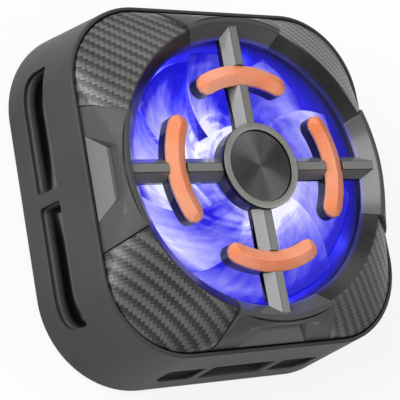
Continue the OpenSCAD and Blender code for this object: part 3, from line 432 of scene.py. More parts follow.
def bordered(low, high, rounds):
    """Rectangular section of a ring, from low to high in radius and height, with its four corners rounded."""
    (r0, z0), (r1, z1) = low, high
    corners = ((r0, z0, 1, 1, math.pi), (r1, z0, -1, 1, 1.5 * math.pi),
               (r1, z1, -1, -1, 0), (r0, z1, 1, -1, math.pi / 2))
    return [point for (r, z, a, b, start), size in zip(corners, rounds)
            for point in arc((r + a * size, z + b * size), size, start, start + math.pi / 2, 5)]


SOFT_ANGLE = 30


def softened(node, name, finish, width):
    """Copy of a CAD node, its loose triangles merged and its flat faces joined, with its edges rounded."""
    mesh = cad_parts[node].data.copy()
    mesh.name = name
    work = bmesh.new()
    work.from_mesh(mesh)
    bmesh.ops.remove_doubles(work, verts=work.verts, dist=0.001 * MM)
    bmesh.ops.dissolve_limit(work, angle_limit=math.radians(0.5), verts=work.verts, edges=work.edges)
    work.to_mesh(mesh)
    work.free()
    made = fitted(name, mesh, finish, node, "housing", SOFT_ANGLE)
    rounds = made.modifiers.new("rounds", "BEVEL")
    rounds.width = width * MM
    rounds.segments = 2
    rounds.limit_method = "ANGLE"
    rounds.angle_limit = math.radians(SOFT_ANGLE)
    made.modifiers.new("even_normals", "WEIGHTED_NORMAL").keep_sharp = True


def moulded(name, low, high, rough, grain):
    """Moulded plastic: its colour drifts from low to high over a centimetre, and a fine spark-eroded
    grain changes its gloss and its normal."""
    finish, shade, place = new_finish(name)
    drift, fine = shade.noise(place, DRIFT, 3.0), shade.noise(place, GRAIN)
    shade.skin({
        "Base Color": (drift * 0.7 + fine * 0.3).between(0.3, 0.7).blend(low, high),
        "Roughness": rough + (fine - 0.5) * 0.12 + (drift - 0.5) * 0.1,
        "Normal": shade.bump(fine, grain, GRAIN_DEPTH), "IOR": 1.45})
    return finish


def turned_metal(name, low, high, rough, pitch, depth, side):
    """Machined metal: rings of tool marks about the fan's axis, a cloudy drift in tone and gloss, and a tone
    of its own on the faces that are turned sideways, which on the hub's trim and disc is a painted shade."""
    finish, shade, place = new_finish(name)
    x, y, _ = place.split()
    radius = (x * x + y * y) ** 0.5
    marks = shade.math("SINE", radius * (2 * math.pi / (pitch * MM)))
    cloud = shade.noise(place, 160.0, 4.0)
    fine = shade.noise(place, 2500.0)
    flat = abs(shade.add("TexCoord", {}, {}, "Normal").split()[2]).between(0.5, 0.9)
    tone = (cloud * 0.6 + fine * 0.4).between(0.3, 0.7).blend(low, high)
    shade.skin({
        "Base Color": flat.blend(side, tone), "Metallic": 1.0,
        "Roughness": rough + (cloud - 0.5) * 0.15,
        "Normal": shade.bump(marks * 0.5 + fine, 0.4, depth * MM)})
    return finish


ring_low, ring_high = (np.array(corner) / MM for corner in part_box("contact_ring"))
plate_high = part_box("cold_plate")[1][2] / MM
plate_r, flange_r = 21.51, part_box("cold_plate")[1][0] / MM
COVER_HIGH = 2.4
GRIP_R = 21.71
PLATE_ROUND = 0.3

back_finish = moulded("dark_plastic", "1c1c1d", "262627", 0.5, 0.5)
softened("back_cover", "back_plate", back_finish, 0.25)

finish, shade, place = new_finish("silicone")
dust = shade.noise(place, 5200.0)
shade.skin({
    "Base Color": shade.noise(place, 240.0, 4.0).between(0.3, 0.75).blend("161617", "242426"),
    "Roughness": 0.62 + dust * 0.2, "Normal": shade.bump(dust, 0.5, GRAIN_DEPTH), "Sheen Weight": 0.2})
grip_section = bordered((GRIP_R, ring_low[2]), (ring_high[0], ring_high[2]), (0.25, 0.25, 0.1, 0.1))
piece("grip_ring", [lathe(grip_section, wrap=True)], finish, "contact_ring")

plate_finish = turned_metal("bare_aluminium", "a8abae", "c4c6c8", 0.28, 0.16, 0.01, "b4b6b9")
plate_profile = [(0, 0.0), (plate_r - PLATE_ROUND, 0.0)]
plate_profile += arc((plate_r - PLATE_ROUND, PLATE_ROUND), PLATE_ROUND, -math.pi / 2, 0)
plate_profile += [(plate_r, COVER_HIGH), (flange_r, COVER_HIGH), (flange_r, plate_high), (0, plate_high)]
piece("cold_face", [lathe(plate_profile)], plate_finish, "cold_plate")

# Cooler, magnets and screws inside the back
# The thermoelectric module sits in foam between the cold plate and the heat sink, with a ring of plated
# magnets and a steel ring round it. Small plated screws hold the sink, the board, the fan and the case.


def dress(nodes, finish):
    """Gives the CAD nodes of these names one finish."""
    for node in nodes.split():
        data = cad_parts[node].data
        data.materials.clear()
        data.materials.append(finish)


def plain_metal(name, low, high, rough, scale=300.0):
    """Plated or rolled metal: fine streaks along X, and a drift in tone and gloss."""
    finish, shade, place = new_finish(name)
    streaks = shade.noise(shade.add("Mapping", {}, {0: place, 3: (0.06, 1.0, 1.0)}), scale * 12)
    cloud = shade.noise(place, scale, 3.0)
    shade.skin({
        "Base Color": (cloud * 0.5 + streaks * 0.5).between(0.3, 0.7).blend(low, high),
        "Metallic": 1.0, "Roughness": rough + (streaks - 0.5) * 0.2,
        "Normal": shade.bump(streaks, 0.25, 0.01 * MM)})
    return finish


def grainy(name, low, high, rough, scale, relief):
    """Fired, foamed or sintered stuff: grains of one size that change its tone and its relief."""
    finish, shade, place = new_finish(name)
    cells = shade.add("TexVoronoi", {"feature": "F1"}, {"Vector": place, "Scale": scale})
    cloud = shade.noise(place, scale / 8, 3.0)
    shade.skin({
        "Base Color": (cells * 0.6 + cloud * 0.5).between(0.2, 0.8).blend(low, high),
        "Roughness": rough + (cloud - 0.5) * 0.2, "Normal": shade.bump(cells, relief, 0.05 * MM)})
    return finish


steel_finish = plain_metal("steel", "a2a4a8", "bdbfc2", 0.3)
ferrite_finish = grainy("ferrite", "3b3b3d", "4a4a4c", 0.7, 5200.0, 0.4)
dress("peltier_cold_face peltier_hot_face", grainy("ceramic", "dcdad2", "efeee8", 0.55, 6000.0, 0.2))
dress("peltier_pellets", plain_metal("semiconductor", "707276", "8c8e92", 0.45))
dress("insulation_gasket", grainy("foam", "4a4d52", "62656a", 0.9, 1800.0, 0.8))
dress("magnets", plain_metal("magnet_metal", "b4b6ba", "cfd0d2", 0.16, 200.0))
dress("shield_ring heat_sink_screws case_screws board_screws fan_screws", steel_finish)
dress("peltier_leads", moulded("lead_red", "8a1a1a", "a32222", 0.5, 0.3))

# Heat sink
# One block of extruded aluminium with thin straight fins, whose cut ends stand behind the vents.
# It is bare metal with the grain of the die along the fins.

FIN_PITCH = 1.4
SINK_PAINTED_LIGHT, SINK_PAINTED_LIGHT_R = (7.5, 10.5), (24.0, 20.0)
finish, shade, place = new_finish("sink_aluminium")
# painted glints and painted shade: the cut ends that face X are painted in light and dark stripes at the
# fins' pitch
painted_fin_glints = shade.math("SINE", place.split()[1] * (2 * math.pi / (FIN_PITCH * MM))).between(-0.4, 0.4)
sawn = abs(shade.add("TexCoord", {}, {}, "Normal").split()[0]).between(0.7, 0.9)
die = shade.noise(shade.add("Mapping", {}, {0: place, 3: (0.06, 1.0, 1.0)}), 6000.0)
# painted light: a blue glow of the lamps is painted high on the fins near the middle
x, y, z = (axis / MM for axis in place.split())
painted_lamp_light = z.between(*SINK_PAINTED_LIGHT) * ((x * x + y * y) ** 0.5).between(*SINK_PAINTED_LIGHT_R)
shade.skin({
    "Base Color": (1 - sawn * (1 - painted_fin_glints) + (die - 0.5) * 0.5).blend("3c3d3f", "d8dadc"),
    "Metallic": 1 - sawn * 0.7, "Roughness": 0.3 + sawn * 0.2 + (die - 0.5) * 0.2,
    "Normal": shade.bump(die, 0.25, 0.01 * MM), **(painted_lamp_light * (0.8 + die * 0.2)).painted_emission("4a46dc")})
dress("heat_sink", finish)

# Control board and charging socket
# A small green board on two screws carries a controller, a shielded coil and chip capacitors.
# The folded steel shell of the socket ends flush in the floor of the plug recess.


def board_finish(name, mask_low, mask_high, painted_glow=("000000", "000000")):
    """Solder mask over copper: straight tracks on a fine grid show through as a slightly lighter tone. A
    board under lamps is also painted with a glow of their light, in a colour that drifts between two tones."""
    finish, shade, place = new_finish(name)
    bricks = {"Vector": place, "Scale": 900.0, "Mortar Size": 0.03}
    tracks = shade.add("TexBrick", {"offset": 0.5}, bricks, "Fac")
    cloud = shade.noise(place, 400.0, 3.0)
    shade.skin({
        "Base Color": (tracks * 0.6 + cloud * 0.4).between(0.1, 0.8).blend(mask_low, mask_high),
        "Emission Color": cloud.between(0.3, 0.7).blend(painted_glow[0], painted_glow[1]),
        "Emission Strength": 1.0, "Roughness": 0.35 + (cloud - 0.5) * 0.2,
        "Normal": shade.bump(tracks, 0.3, 0.03 * MM)})
    return finish


dress("main_board motor_board", board_finish("circuit_board", "14532f", "1f6b3f"))
dress("control_chip usb_tongue", moulded("chip", "161617", "202022", 0.55, 0.4))
dress("power_inductor", ferrite_finish)
dress("capacitors", grainy("capacitor_tan", "a5814f", "b8945f", 0.5, 5000.0, 0.2))
dress("fan_leads supply_leads", moulded("lead_black", "151516", "202022", 0.5, 0.3))
softened("usb_shell", "socket_shell", steel_finish, 0.08)

# Fan frame, motor and lamps
# A black moulded frame carries the motor on thin struts and a white ring board of blue lamps that
# shine up into the blades. The stator is a stack of steel sheets wound with enamelled copper.

WIRE = 0.16
FRAME_PAINTED_LIGHT, FRAME_PAINTED_LIGHT_R, DUCT_R = (25.5, 18.0), (5.0, 15.0), 24.7
finish, shade, place = new_finish("copper")
turns = shade.math("SINE", place.split()[2] * (2 * math.pi / (WIRE * MM)))
# painted shade and painted highlight: the wire is painted darker in the grooves between turns and lighter on
# their crowns
shade.skin({
    "Base Color": turns.between(-1.0, 1.0).blend("8a4a22", "c9783f"), "Metallic": 1.0,
    "Roughness": 0.35 + shade.noise(place, 900.0) * 0.1, "Normal": shade.bump(turns, 0.6, 0.04 * MM)})
dress("stator_windings", finish)
# painted light: the frame gives off a blue glow high inside the duct, as painted lamp light
finish, shade, place = new_finish("frame_painted_light")
x, y, z = place.split()
radius = (x * x + y * y) ** 0.5 / MM
painted_lamp_light = (z / MM).between(*FRAME_PAINTED_LIGHT) * radius.between(*FRAME_PAINTED_LIGHT_R) * (radius < DUCT_R)
grain = shade.noise(place, GRAIN)
shade.skin({
    "Base Color": grain.between(0.3, 0.7).blend("1c1c1f", "28282c"),
    "Roughness": 0.35 + grain * 0.2, "Normal": shade.bump(grain, 0.3, GRAIN_DEPTH),
    **(painted_lamp_light + (grain - 0.5) * 0.1).painted_emission("221ed0")})
dress("fan_frame", finish)
dress("fan_bearing", grainy("bronze", "a57b45", "bd9258", 0.5, 7000.0, 0.3))
dress("stator_core", plain_metal("sheet_steel", "8b8d91", "a3a5a8", 0.4, 700.0))
# painted light: the white board is given a painted blue glow of the lamps
dress("lamp_board", board_finish("white_board", "d6d6da", "ececef", ("2a24d8", "5a55f0")))

LAMP_GLOW = 40.0
finish, shade, place = new_finish("lamp")
shade.skin({
    "Base Color": shade.noise(place, 900.0).blend("4a50d0", "6a70f0"), "Roughness": 0.3,
    "Emission Color": shade.noise(place, 500.0).blend("1a20ff", "4450ff"),
    "Emission Strength": LAMP_GLOW})
dress("lamps", finish)

# Rotor
# The impeller is one moulding of milky clear plastic with swept blades, painted with a glow of the lamps'
# light that is brighter towards their upper edges. A steel cup with a ring magnet and the shaft are pressed
# into its hub.

BLADES = 9
BLADE_LOW, BLADE_HIGH = 16.15, 22.7
BLADE_ROOT, BLADE_TIP = 8.7, 23.5
BLADE_TWIST, BLADE_SWEEP = math.radians(54), math.radians(26)
BLADE_HALF = 0.42
BLADE_TIP_SHARE, SPAN_STEPS = 0.03, 36
HUB_R, HUB_LOW, HUB_HIGH = 9.0, 15.45, 22.9
HUB_ROUND, HUB_BORE, HUB_ROOF = 0.5, 8.25, 21.4


def blade(turn):
    """Twisted blade: at each radius a thin rounded section runs along the chord, which rises from the
    lower to the upper edge while it turns by the twist, and leans back by the sweep towards the tip."""
    tip = np.cos(np.linspace(0, math.pi / 2, 7))[1:]
    span = np.concatenate([[0], np.linspace(0, 1 - BLADE_TIP_SHARE, SPAN_STEPS), 1 - BLADE_TIP_SHARE * tip])
    thick = np.concatenate([[0], np.ones(SPAN_STEPS), tip])[:, None]
    radius = (BLADE_ROOT + (BLADE_TIP - BLADE_ROOT) * span)[:, None]
    loop = np.linspace(0, 2 * math.pi, 56, endpoint=False)[None]
    chord = (1 - np.cos(loop)) / 2
    half = BLADE_HALF * thick * np.sign(np.sin(loop)) * np.abs(np.sin(loop)) ** 0.6
    rise = BLADE_HIGH - BLADE_LOW - 0.2
    run = radius * BLADE_TWIST
    length = np.sqrt(run**2 + rise**2)
    around = (chord * run - half * rise / length) / radius
    z = BLADE_LOW + 0.1 + chord * rise + half * run / length
    angle = turn + around - BLADE_SWEEP * span[:, None] ** 1.5
    return grid(stacked(radius * np.cos(angle), radius * np.sin(angle), z), (False, True))


BLADE_PAINTED_GLOW = 1.0
SWIRL = 0.05
ARM_START, ARM_LAG, ARM_SIDE = 1.126, 0.115, math.radians(200)
# painted light: the blades' emission, with its swirl, arms and rings, is a painted glow of the lamps; their
# base colour is darker towards the lower edge
finish, shade, place = new_finish("clear_blue")
x, y, z = (axis / MM for axis in place.split())
radius = (x * x + y * y) ** 0.5
climb = z.between(BLADE_LOW, BLADE_HIGH)
theta = shade.math("ARCTAN2", y, x)
lag = radius * SWIRL
cosine, sine = shade.math("COSINE", theta + lag), shade.math("SINE", theta + lag)
painted_swirl_place = shade.add("CombineXYZ", {}, {0: cosine, 1: sine, 2: radius * 0.045})
rings = shade.add("CombineXYZ", {}, {0: x / radius * 1.1, 1: y / radius * 1.1, 2: radius * 0.75})
broad, fine = shade.noise(painted_swirl_place, 2.1, 3.0), shade.noise(painted_swirl_place, 11.0, 4.0)
painted_ring_wash = shade.noise(rings, 1.0, 3.0)
painted_swirl_arms = shade.math("COSINE", (theta - (ARM_START + radius * ARM_LAG)) * 2)
tilt = shade.math("COSINE", theta - ARM_SIDE)
level = (0.5 + painted_swirl_arms * (0.28 + radius.between(15.0, 9.0) * 0.16) + tilt * radius.between(11.0, 20.0) * 0.1
         + (broad - 0.5) * 0.9 + (fine - 0.5) * 0.45 + (painted_ring_wash - 0.4) * radius.between(16.0, 10.0) * 1.6
         - radius.between(20.8, 23.0) * 0.45 + (climb - 0.6) * 0.25)
painted_glow = shade.add("ValToRGB", {"stops": (
    (0.0, tint("1a16c0")), (0.2, tint("2a24d8")), (0.45, tint("6a66ea")), (0.68, tint("9a97f4")),
    (0.9, tint("c6c4f8")), (1.0, tint("f0efff")))}, {0: level})
shade.skin({
    "Base Color": climb.blend("0a0850", "16145e"), "Roughness": 0.22 + (fine - 0.5) * 0.2,
    "Emission Color": painted_glow, "Emission Strength": BLADE_PAINTED_GLOW, "Coat Weight": 0.4, "Coat Roughness": 0.08,
    "Normal": shade.bump(fine, 0.2, 0.05 * MM)})
hub_profile = [(0, HUB_HIGH), (HUB_R - HUB_ROUND, HUB_HIGH)]
hub_profile += arc((HUB_R - HUB_ROUND, HUB_HIGH - HUB_ROUND), HUB_ROUND, math.pi / 2, 0)
hub_profile += [(HUB_R, HUB_LOW), (HUB_BORE, HUB_LOW), (HUB_BORE, HUB_ROOF), (0, HUB_ROOF)]
blades = [blade(2 * math.pi * i / BLADES) for i in range(BLADES)]
piece("impeller_painted_light", [lathe(hub_profile, 96)] + blades, finish, "impeller", body="rotor")
dress("rotor_yoke fan_shaft", steel_finish)
dress("rotor_magnet", ferrite_finish)
dress("shaft_clip", moulded("nylon", "d8d8d4", "e8e8e4", 0.5, 0.3))

# Front cover
# The sloped front is a moulding that snaps into the case: a bed for the corner panels, a glossy funnel
# round the fan, and a raised panel with a sunk facet on each side.

RING_R, RING_TOP = 26.9, 26.8
RIM_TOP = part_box("front_cover")[1][2] / MM
COVER_REACH = 14.35
OUTLINE = CORNER + COVER_REACH
LIP_R, LIP_TOP = 24.4, 24.62
PANEL_R = RING_R + 0.8
CORNER_R = RING_R + 0.3
WEDGE_IN, WEDGE_OUT = 9.75, 12.7
WEDGE_X = math.sqrt(RING_R**2 - WEDGE_IN**2)
WEDGE_SPREAD = (WEDGE_OUT - WEDGE_IN) / (OUTLINE - WEDGE_X)
POCKET_SLOPE, POCKET_LEN = math.radians(54), 4.1
POCKET_FOOT = OUTLINE - POCKET_LEN * math.cos(POCKET_SLOPE)
POCKET_OUT, POCKET_IN = 7.45, 4.3
POCKET_BROW = 0.2
PANEL_ROUND = 0.13
PANEL_SKIN, PANEL_LIP = 1.6, 0.03
BAND_R = 26.75


def front_height(plan, top_r, top_z):
    """Height of the sloped front over points in plan. The slope is swept by straight lines from the top
    circle to the square outline: q, from 0 at the circle to 1 at the outline, is read off the flat face
    where the point lies on it, and otherwise solves the round corner's cone for the circle through it."""
    x, y = np.abs(plan[..., 0]), np.abs(plan[..., 1])
    x, y = np.maximum(x, y), np.minimum(x, y)
    flat = (x - top_r) / (OUTLINE - top_r)
    shrink = top_r - COVER_REACH
    a = 2 * CORNER**2 - shrink**2
    b = -2 * CORNER * (x + y) + 2 * top_r * shrink
    c = x**2 + y**2 - top_r**2
    cone = (-b - np.sqrt(np.maximum(b**2 - 4 * a * c, 0))) / (2 * a)
    q = np.clip(np.where(y <= flat * CORNER, flat, cone), 0, 1)
    return top_z - q * (top_z - CASE_FRONT)


def outline_point(u):
    """Plan of the cover's outline for u from 0 to 8: a side and a corner for each quarter turn."""
    quarter, part = np.divmod(u, 2.0)
    along = CORNER * (2 * np.minimum(part, 1) - 1)
    bend = np.maximum(part - 1, 0) * math.pi / 2 - math.pi / 2
    x, y = along + COVER_REACH * np.cos(bend), COVER_REACH * np.sin(bend) - CORNER
    c, s = np.cos(quarter * math.pi / 2), np.sin(quarter * math.pi / 2)
    return stacked(c * x - s * y, s * x + c * y)


def raised(plan, z):
    """Points at heights z over points in plan."""
    return stacked(plan[..., 0], plan[..., 1], z)


BED_DROP, BED_THICK = 0.85, 1.3
bed_u = np.linspace(0, 8, 256, endpoint=False)
edge_plan = outline_point(bed_u)
ring_plan = edge_plan / np.linalg.norm(edge_plan, axis=-1, keepdims=True) * (RING_R + 0.05)
share = np.linspace(0, 1, 16)[:, None, None]
bed_plan = (1 - share) * ring_plan + share * edge_plan
bed_top = front_height(bed_plan, CORNER_R, RING_TOP) - BED_DROP
upper = raised(bed_plan, bed_top)
lower_plan = np.concatenate([bed_plan[:-1], edge_plan[None] * (1 - 1.0 / OUTLINE)])
lower = raised(lower_plan, np.maximum(bed_top - BED_THICK, SEAT))
skirt = raised(edge_plan, SEAT)[None]
lower[-1, :, 2] = SEAT
bed = grid(np.concatenate([upper, skirt, lower[::-1]]), (True, True))

BEAD = 0.17
funnel_profile = arc((RING_R - 0.03, RING_TOP - BEAD), BEAD, 0, math.pi * 0.78, 9)
funnel_profile += [(LIP_R + 0.16, LIP_TOP + 0.12), (LIP_R + 0.03, LIP_TOP + 0.03), (LIP_R, LIP_TOP)]
funnel_profile += [(LIP_R + 0.6, LIP_TOP), (RING_R + 0.08, RING_TOP - 1.2)]

cover_finish, shade, place = new_finish("cover_plastic")
facing = shade.add("TexCoord", {}, {}, "Normal").split()[2]
x, y = (abs(axis / MM) for axis in place.split()[:2])
far, near = shade.math("MAXIMUM", x, y), shade.math("MINIMUM", x, y)
# painted light: the sunk facets' floors and the inner rim band are painted lighter as well as made glossier
facet = (far > POCKET_FOOT + 0.02) * (near < POCKET_OUT) * (facing > 0.5)
band = ((x * x + y * y) ** 0.5 < BAND_R) * (facing > 0.6)
polish_and_painted_light = shade.math("MAXIMUM", facet, band)
# painted light: the rim band's inner edge gives off a blue glow of the lamps
painted_lamp_light = band * (place.split()[2] / MM).between(25.4, 24.5)
drift, grain = shade.noise(place, DRIFT, 3.0), shade.noise(place, GRAIN)
tone = polish_and_painted_light * 0.4 + (drift - 0.5) * 0.5 + (grain - 0.5) * 0.2
shade.skin({
    "Base Color": tone.blend("484849", "646465"),
    "Roughness": 0.44 - polish_and_painted_light * 0.2 + (grain - 0.5) * 0.1,
    "Coat Weight": polish_and_painted_light * 0.3, "Coat Roughness": 0.15, "IOR": 1.35,
    "Normal": shade.bump(grain, 0.2, GRAIN_DEPTH), **painted_lamp_light.painted_emission("1a17a0")})
funnel_finish, shade, place = new_finish("funnel_gloss")
grain = shade.noise(place, 900.0, 3.0)
# painted light: the funnel gives off a blue glow of the lamps low down near the fan
painted_lamp_light = (place.split()[2] / MM).between(25.3, 24.5) * (0.7 + grain * 0.6)
shade.skin({
    "Base Color": grain.between(0.3, 0.7).blend("111112", "1a1a1b"),
    "Roughness": 0.22 + grain * 0.06, "Coat Weight": 0.35, "Coat Roughness": 0.15,
    "Normal": shade.bump(grain, 0.05, GRAIN_DEPTH), **painted_lamp_light.painted_emission("16137a")})
piece("front_bed", [bed], cover_finish, "front_cover")
piece("funnel", [lathe(funnel_profile, 256, wrap=True)], funnel_finish, "front_cover")


def wedge_half(radius):
    """Angle at which a circle meets the straight side line of a raised panel."""
    m, k = WEDGE_SPREAD, WEDGE_IN - WEDGE_X * WEDGE_SPREAD
    x = (-m * k + np.sqrt(radius**2 * (1 + m**2) - k**2)) / (1 + m**2)
    return np.arctan2(m * x + k, x)


def bent(corner):
    """Curve from the first to the last of three points, drawn towards the one between them."""
    t = np.linspace(0, 1, 5)[:, None]
    return (1 - t) ** 2 * corner[0] + 2 * t * (1 - t) * corner[1] + t**2 * corner[2]


def eased(rows):
    """Rows whose last point is replaced by a small round that ends straight down."""
    last = rows[:, -1:]
    inward = rows[:, -2:-1] - last
    inward = inward / np.linalg.norm(inward, axis=-1, keepdims=True)
    rounds = [last + PANEL_ROUND * (inward * (1 - math.sin(a)) - np.array((0, 0, 1 - math.cos(a))))
              for a in np.linspace(0, math.pi / 2, 5)]
    return np.concatenate([rows[:, :-1], *rounds], 1)


def closed(top, under):
    """Patches of a skin between a top and an underside, closed along all its edges."""
    sides = [grid(np.stack([top[:, column], under[:, column]])) for column in (0, -1)]
    return [grid(np.concatenate([top, under[::-1]]), (True, False))] + sides


def side_panel():
    """Raised panel of the +X side as one grid. Rows run from the funnel's lip over the rim band and its
    groove and down the slope; columns run across, with doubled lines at the sunk facet's sides, where the
    facet's floor takes the place of the slope. The skin is then closed by a copy of itself below."""
    rim = [(24.47, 24.66), (25.6, 26.0), (26.74, 27.36), (26.8, 27.46), (26.88, RIM_TOP - 0.02),
           (26.97, RIM_TOP), (27.3, RIM_TOP), (27.58, RIM_TOP), (27.66, RIM_TOP - 0.03),
           (27.7, RIM_TOP - 0.1), (27.72, 26.75), (27.93, 26.55)]
    face_top = 28.0
    slope = (RIM_TOP - CASE_FRONT) / (OUTLINE - PANEL_R)
    facet_z = CASE_FRONT + POCKET_LEN * math.sin(POCKET_SLOPE)
    mouth = (POCKET_FOOT, RIM_TOP - slope * (POCKET_FOOT - PANEL_R))
    brow = np.array([(-1, slope), (0, 0), (0, -slope)]) * POCKET_BROW + mouth
    upright = np.linspace(brow[-1], (POCKET_FOOT, facet_z), 4)[1:]
    wall = np.concatenate([bent(brow)[1:], upright])
    outer, inner = 10, 22
    across = np.concatenate([np.linspace(-1, 0, outer), np.linspace(-1, 1, inner), np.linspace(0, 1, outer)])
    band = np.concatenate([-np.ones(outer), np.zeros(inner), np.ones(outer)])

    def spread(half, split):
        """Positions across a row of that half width whose facet lines lie at the given split."""
        return np.where(band == 0, across * split, band * split + across * (half - split))

    lines = []
    for radius, z in rim:
        angle = spread(1.0, POCKET_IN / WEDGE_OUT) * wedge_half(radius)
        lines.append(stacked(radius * np.cos(angle), radius * np.sin(angle), z))

    def slope_row(x, split, bow=0.0):
        """Row of the slope that crosses the middle at x: straight, or bowed towards the rim's circle."""
        half = WEDGE_IN + (x - WEDGE_X) * WEDGE_SPREAD
        y = spread(half, split)
        plan = stacked(bow * np.sqrt(x**2 - y**2) + (1 - bow) * x, y)
        limit = plan[:, :1] * WEDGE_SPREAD + WEDGE_IN - WEDGE_X * WEDGE_SPREAD
        plan[:, 1:] *= limit / half
        return raised(plan, front_height(plan, PANEL_R, RIM_TOP))

    for s in np.linspace(0, 1, 7):
        lines.append(slope_row(face_top + (brow[0, 0] - face_top) * s, POCKET_IN, 1 - s))

    def sunk_row(beside, split, x, z):
        """Row of the slope whose part between the facet's lines lies at x and z."""
        row = slope_row(beside, split)
        row[band == 0, 0], row[band == 0, 2] = x, z
        return row

    besides = np.linspace(brow[0, 0], POCKET_FOOT, len(wall) + 1)[1:]
    lines += [sunk_row(beside, POCKET_IN, x, z) for beside, (x, z) in zip(besides, wall)]
    for s in np.linspace(1, 0, 14)[1:]:
        x = OUTLINE + (POCKET_FOOT - OUTLINE) * s
        z = CASE_FRONT + (OUTLINE - x) * math.tan(POCKET_SLOPE)
        lines.append(sunk_row(x, POCKET_OUT + (POCKET_IN - POCKET_OUT) * s, x, z))
    top = eased(eased(np.stack(lines))[:, ::-1])[:, ::-1]
    under = top - (0, 0, PANEL_SKIN)
    under[:2, :, 2] = top[:2, :, 2] - PANEL_LIP
    return closed(top, under)


panel = side_panel()
for quarter, side in enumerate("enws"):
    piece("side_panel_" + side, panel, cover_finish, "front_cover", sharp=24, quarter=quarter)

# Corner panels
# Each corner of the slope is covered by a thin pressed panel with a twill of woven tows under a clear coat.
# The tows are real relief: each passes over two of its neighbours and under the next two.

TOW, TOW_HEIGHT, WEAVE_START = 0.64, 0.05, 0.3
PANEL_THICK, PANEL_EDGE = 0.75, 0.14
PANEL_GAP, PANEL_LENGTH = 0.009, 26.0


def twill(plan):
    """Relief of the weave from 0 to 1 over points in plan: of the two sets of tows, the one that lies on
    top where the column and row numbers add up to 0 or 1, modulo 4, is round across its own width."""
    cell = np.floor(plan / TOW)
    inside = plan / TOW - cell
    over = np.mod(cell[..., 0] + cell[..., 1], 4) < 2
    across = np.where(over, inside[..., 0], inside[..., 1])
    return np.sqrt(np.maximum(1 - (2 * across - 1) ** 2, 0))


def corner_panel():
    """Panel of the NE corner: lines from the outline to the ring, over the front's slope, with the weave's
    relief on top, edges that round off over a short distance, and a plain underside."""
    def spaced(close, count):
        """Steps from 0 to 1: even ones, and a few closer ones at each end."""
        close = np.array(close)
        return np.concatenate([close[:-1], np.linspace(close[-1], 1 - close[-1], count), 1 - close[-2::-1]])

    ends = spaced((0, 0.0015, 0.003, 0.005, 0.008), 212)
    rows = spaced((0, 0.004, 0.008, 0.013, 0.02), 84)
    place = PANEL_GAP + (1 - 2 * PANEL_GAP) * ends
    straight = (CORNER - WEDGE_OUT) / (2 * (CORNER - WEDGE_OUT) + COVER_REACH * math.pi / 2)
    bend = np.clip((place - straight) / (1 - 2 * straight), 0, 1) * math.pi / 2
    scale = (CORNER - WEDGE_OUT) / straight
    x = CORNER + COVER_REACH * np.cos(bend) - np.maximum(place - 1 + straight, 0) * scale
    y = CORNER + COVER_REACH * np.sin(bend) - np.maximum(straight - place, 0) * scale
    outline = stacked(x, y)
    first = math.asin(WEDGE_IN / RING_R)
    angle = first + place * (math.pi / 2 - 2 * first)
    ring = (RING_R + 0.05) * stacked(np.cos(angle), np.sin(angle))
    share = rows[:, None, None]
    plan = (1 - share) * outline + share * ring
    to_side = np.minimum(rows, 1 - rows)[:, None] * np.linalg.norm(outline - ring, axis=-1)
    edge = np.minimum(to_side, np.minimum(ends, 1 - ends) * PANEL_LENGTH)
    soft = np.clip(1 - edge / PANEL_EDGE, 0, 1)
    drop = PANEL_EDGE * (1 - np.sqrt(np.maximum(1 - soft**2, 0)))
    relief = TOW_HEIGHT * (twill(plan) - 1) * np.clip(edge / WEAVE_START, 0, 1)
    z = front_height(plan, CORNER_R, RING_TOP)
    return closed(raised(plan, z - drop + relief), raised(plan, z - PANEL_THICK))


finish, shade, place = new_finish("woven_panel")
u, v = (axis / (TOW * MM) for axis in place.split()[:2])
cell_u, cell_v = (shade.math("FLOOR", axis) for axis in (u, v))
turn = shade.math("FLOORED_MODULO", cell_u + cell_v, 4.0)
over = turn < 2.0
across = over * (u - cell_u) + (1 - over) * (v - cell_v)
painted_crown_highlight = 1 - (across * 2 - 1) ** 2.0
fibre = shade.noise(shade.add("Mapping", {}, {0: place, 3: (1.0, 1.0, 0.3)}), 5200.0)
cloud = shade.noise(place, 90.0, 3.0)
# painted reflection and shade: tows lying on top one way are painted lighter than those the other way, tows
# underneath darker, and each tow's crown lighter as a painted highlight; the fibre and cloud noise are real
# tone
painted_sheen_and_tone = (over * 0.66 + (turn < 1.0) * 0.14 + (1 - over) * (turn < 3.0) * 0.14 + painted_crown_highlight * 0.16
         + (fibre - 0.5) * 0.5 + (cloud - 0.5) * 0.4)
shade.skin({
    "Base Color": painted_sheen_and_tone.between(-0.1, 1.1).blend("151516", "5c5c5c"),
    "Roughness": 0.42 - over * 0.1 + (fibre - 0.5) * 0.2,
    "Normal": shade.bump(fibre, 0.25, GRAIN_DEPTH), "Coat Weight": 0.25, "Coat Roughness": 0.25})
panel = corner_panel()
for quarter, corner in enumerate(("ne", "nw", "sw", "se")):
    piece("woven_panel_" + corner, panel, finish, "corner_panel_" + corner,
          sharp=60, even=False, quarter=quarter)

# Guard
# Four spokes with sloped flanks, the seats of the arcs and the hub's seat are one grey moulding on a ring
# that is clamped under the funnel.

SPOKE_FACE, SPOKE_LINE, SPOKE_TOP = 0.8, 0.09, 26.6

finish, shade, place = new_finish("guard_plastic")
facing = shade.add("TexCoord", {}, {}, "Normal").split()[2]
grain = shade.noise(place, GRAIN)
x, y, z = (abs(axis / MM) for axis in place.split())
# painted shade: a dark line is painted along each edge of a spoke's front face
painted_crease_shade = (abs(shade.math("MINIMUM", x, y) - SPOKE_FACE) < SPOKE_LINE) * (z > SPOKE_TOP)
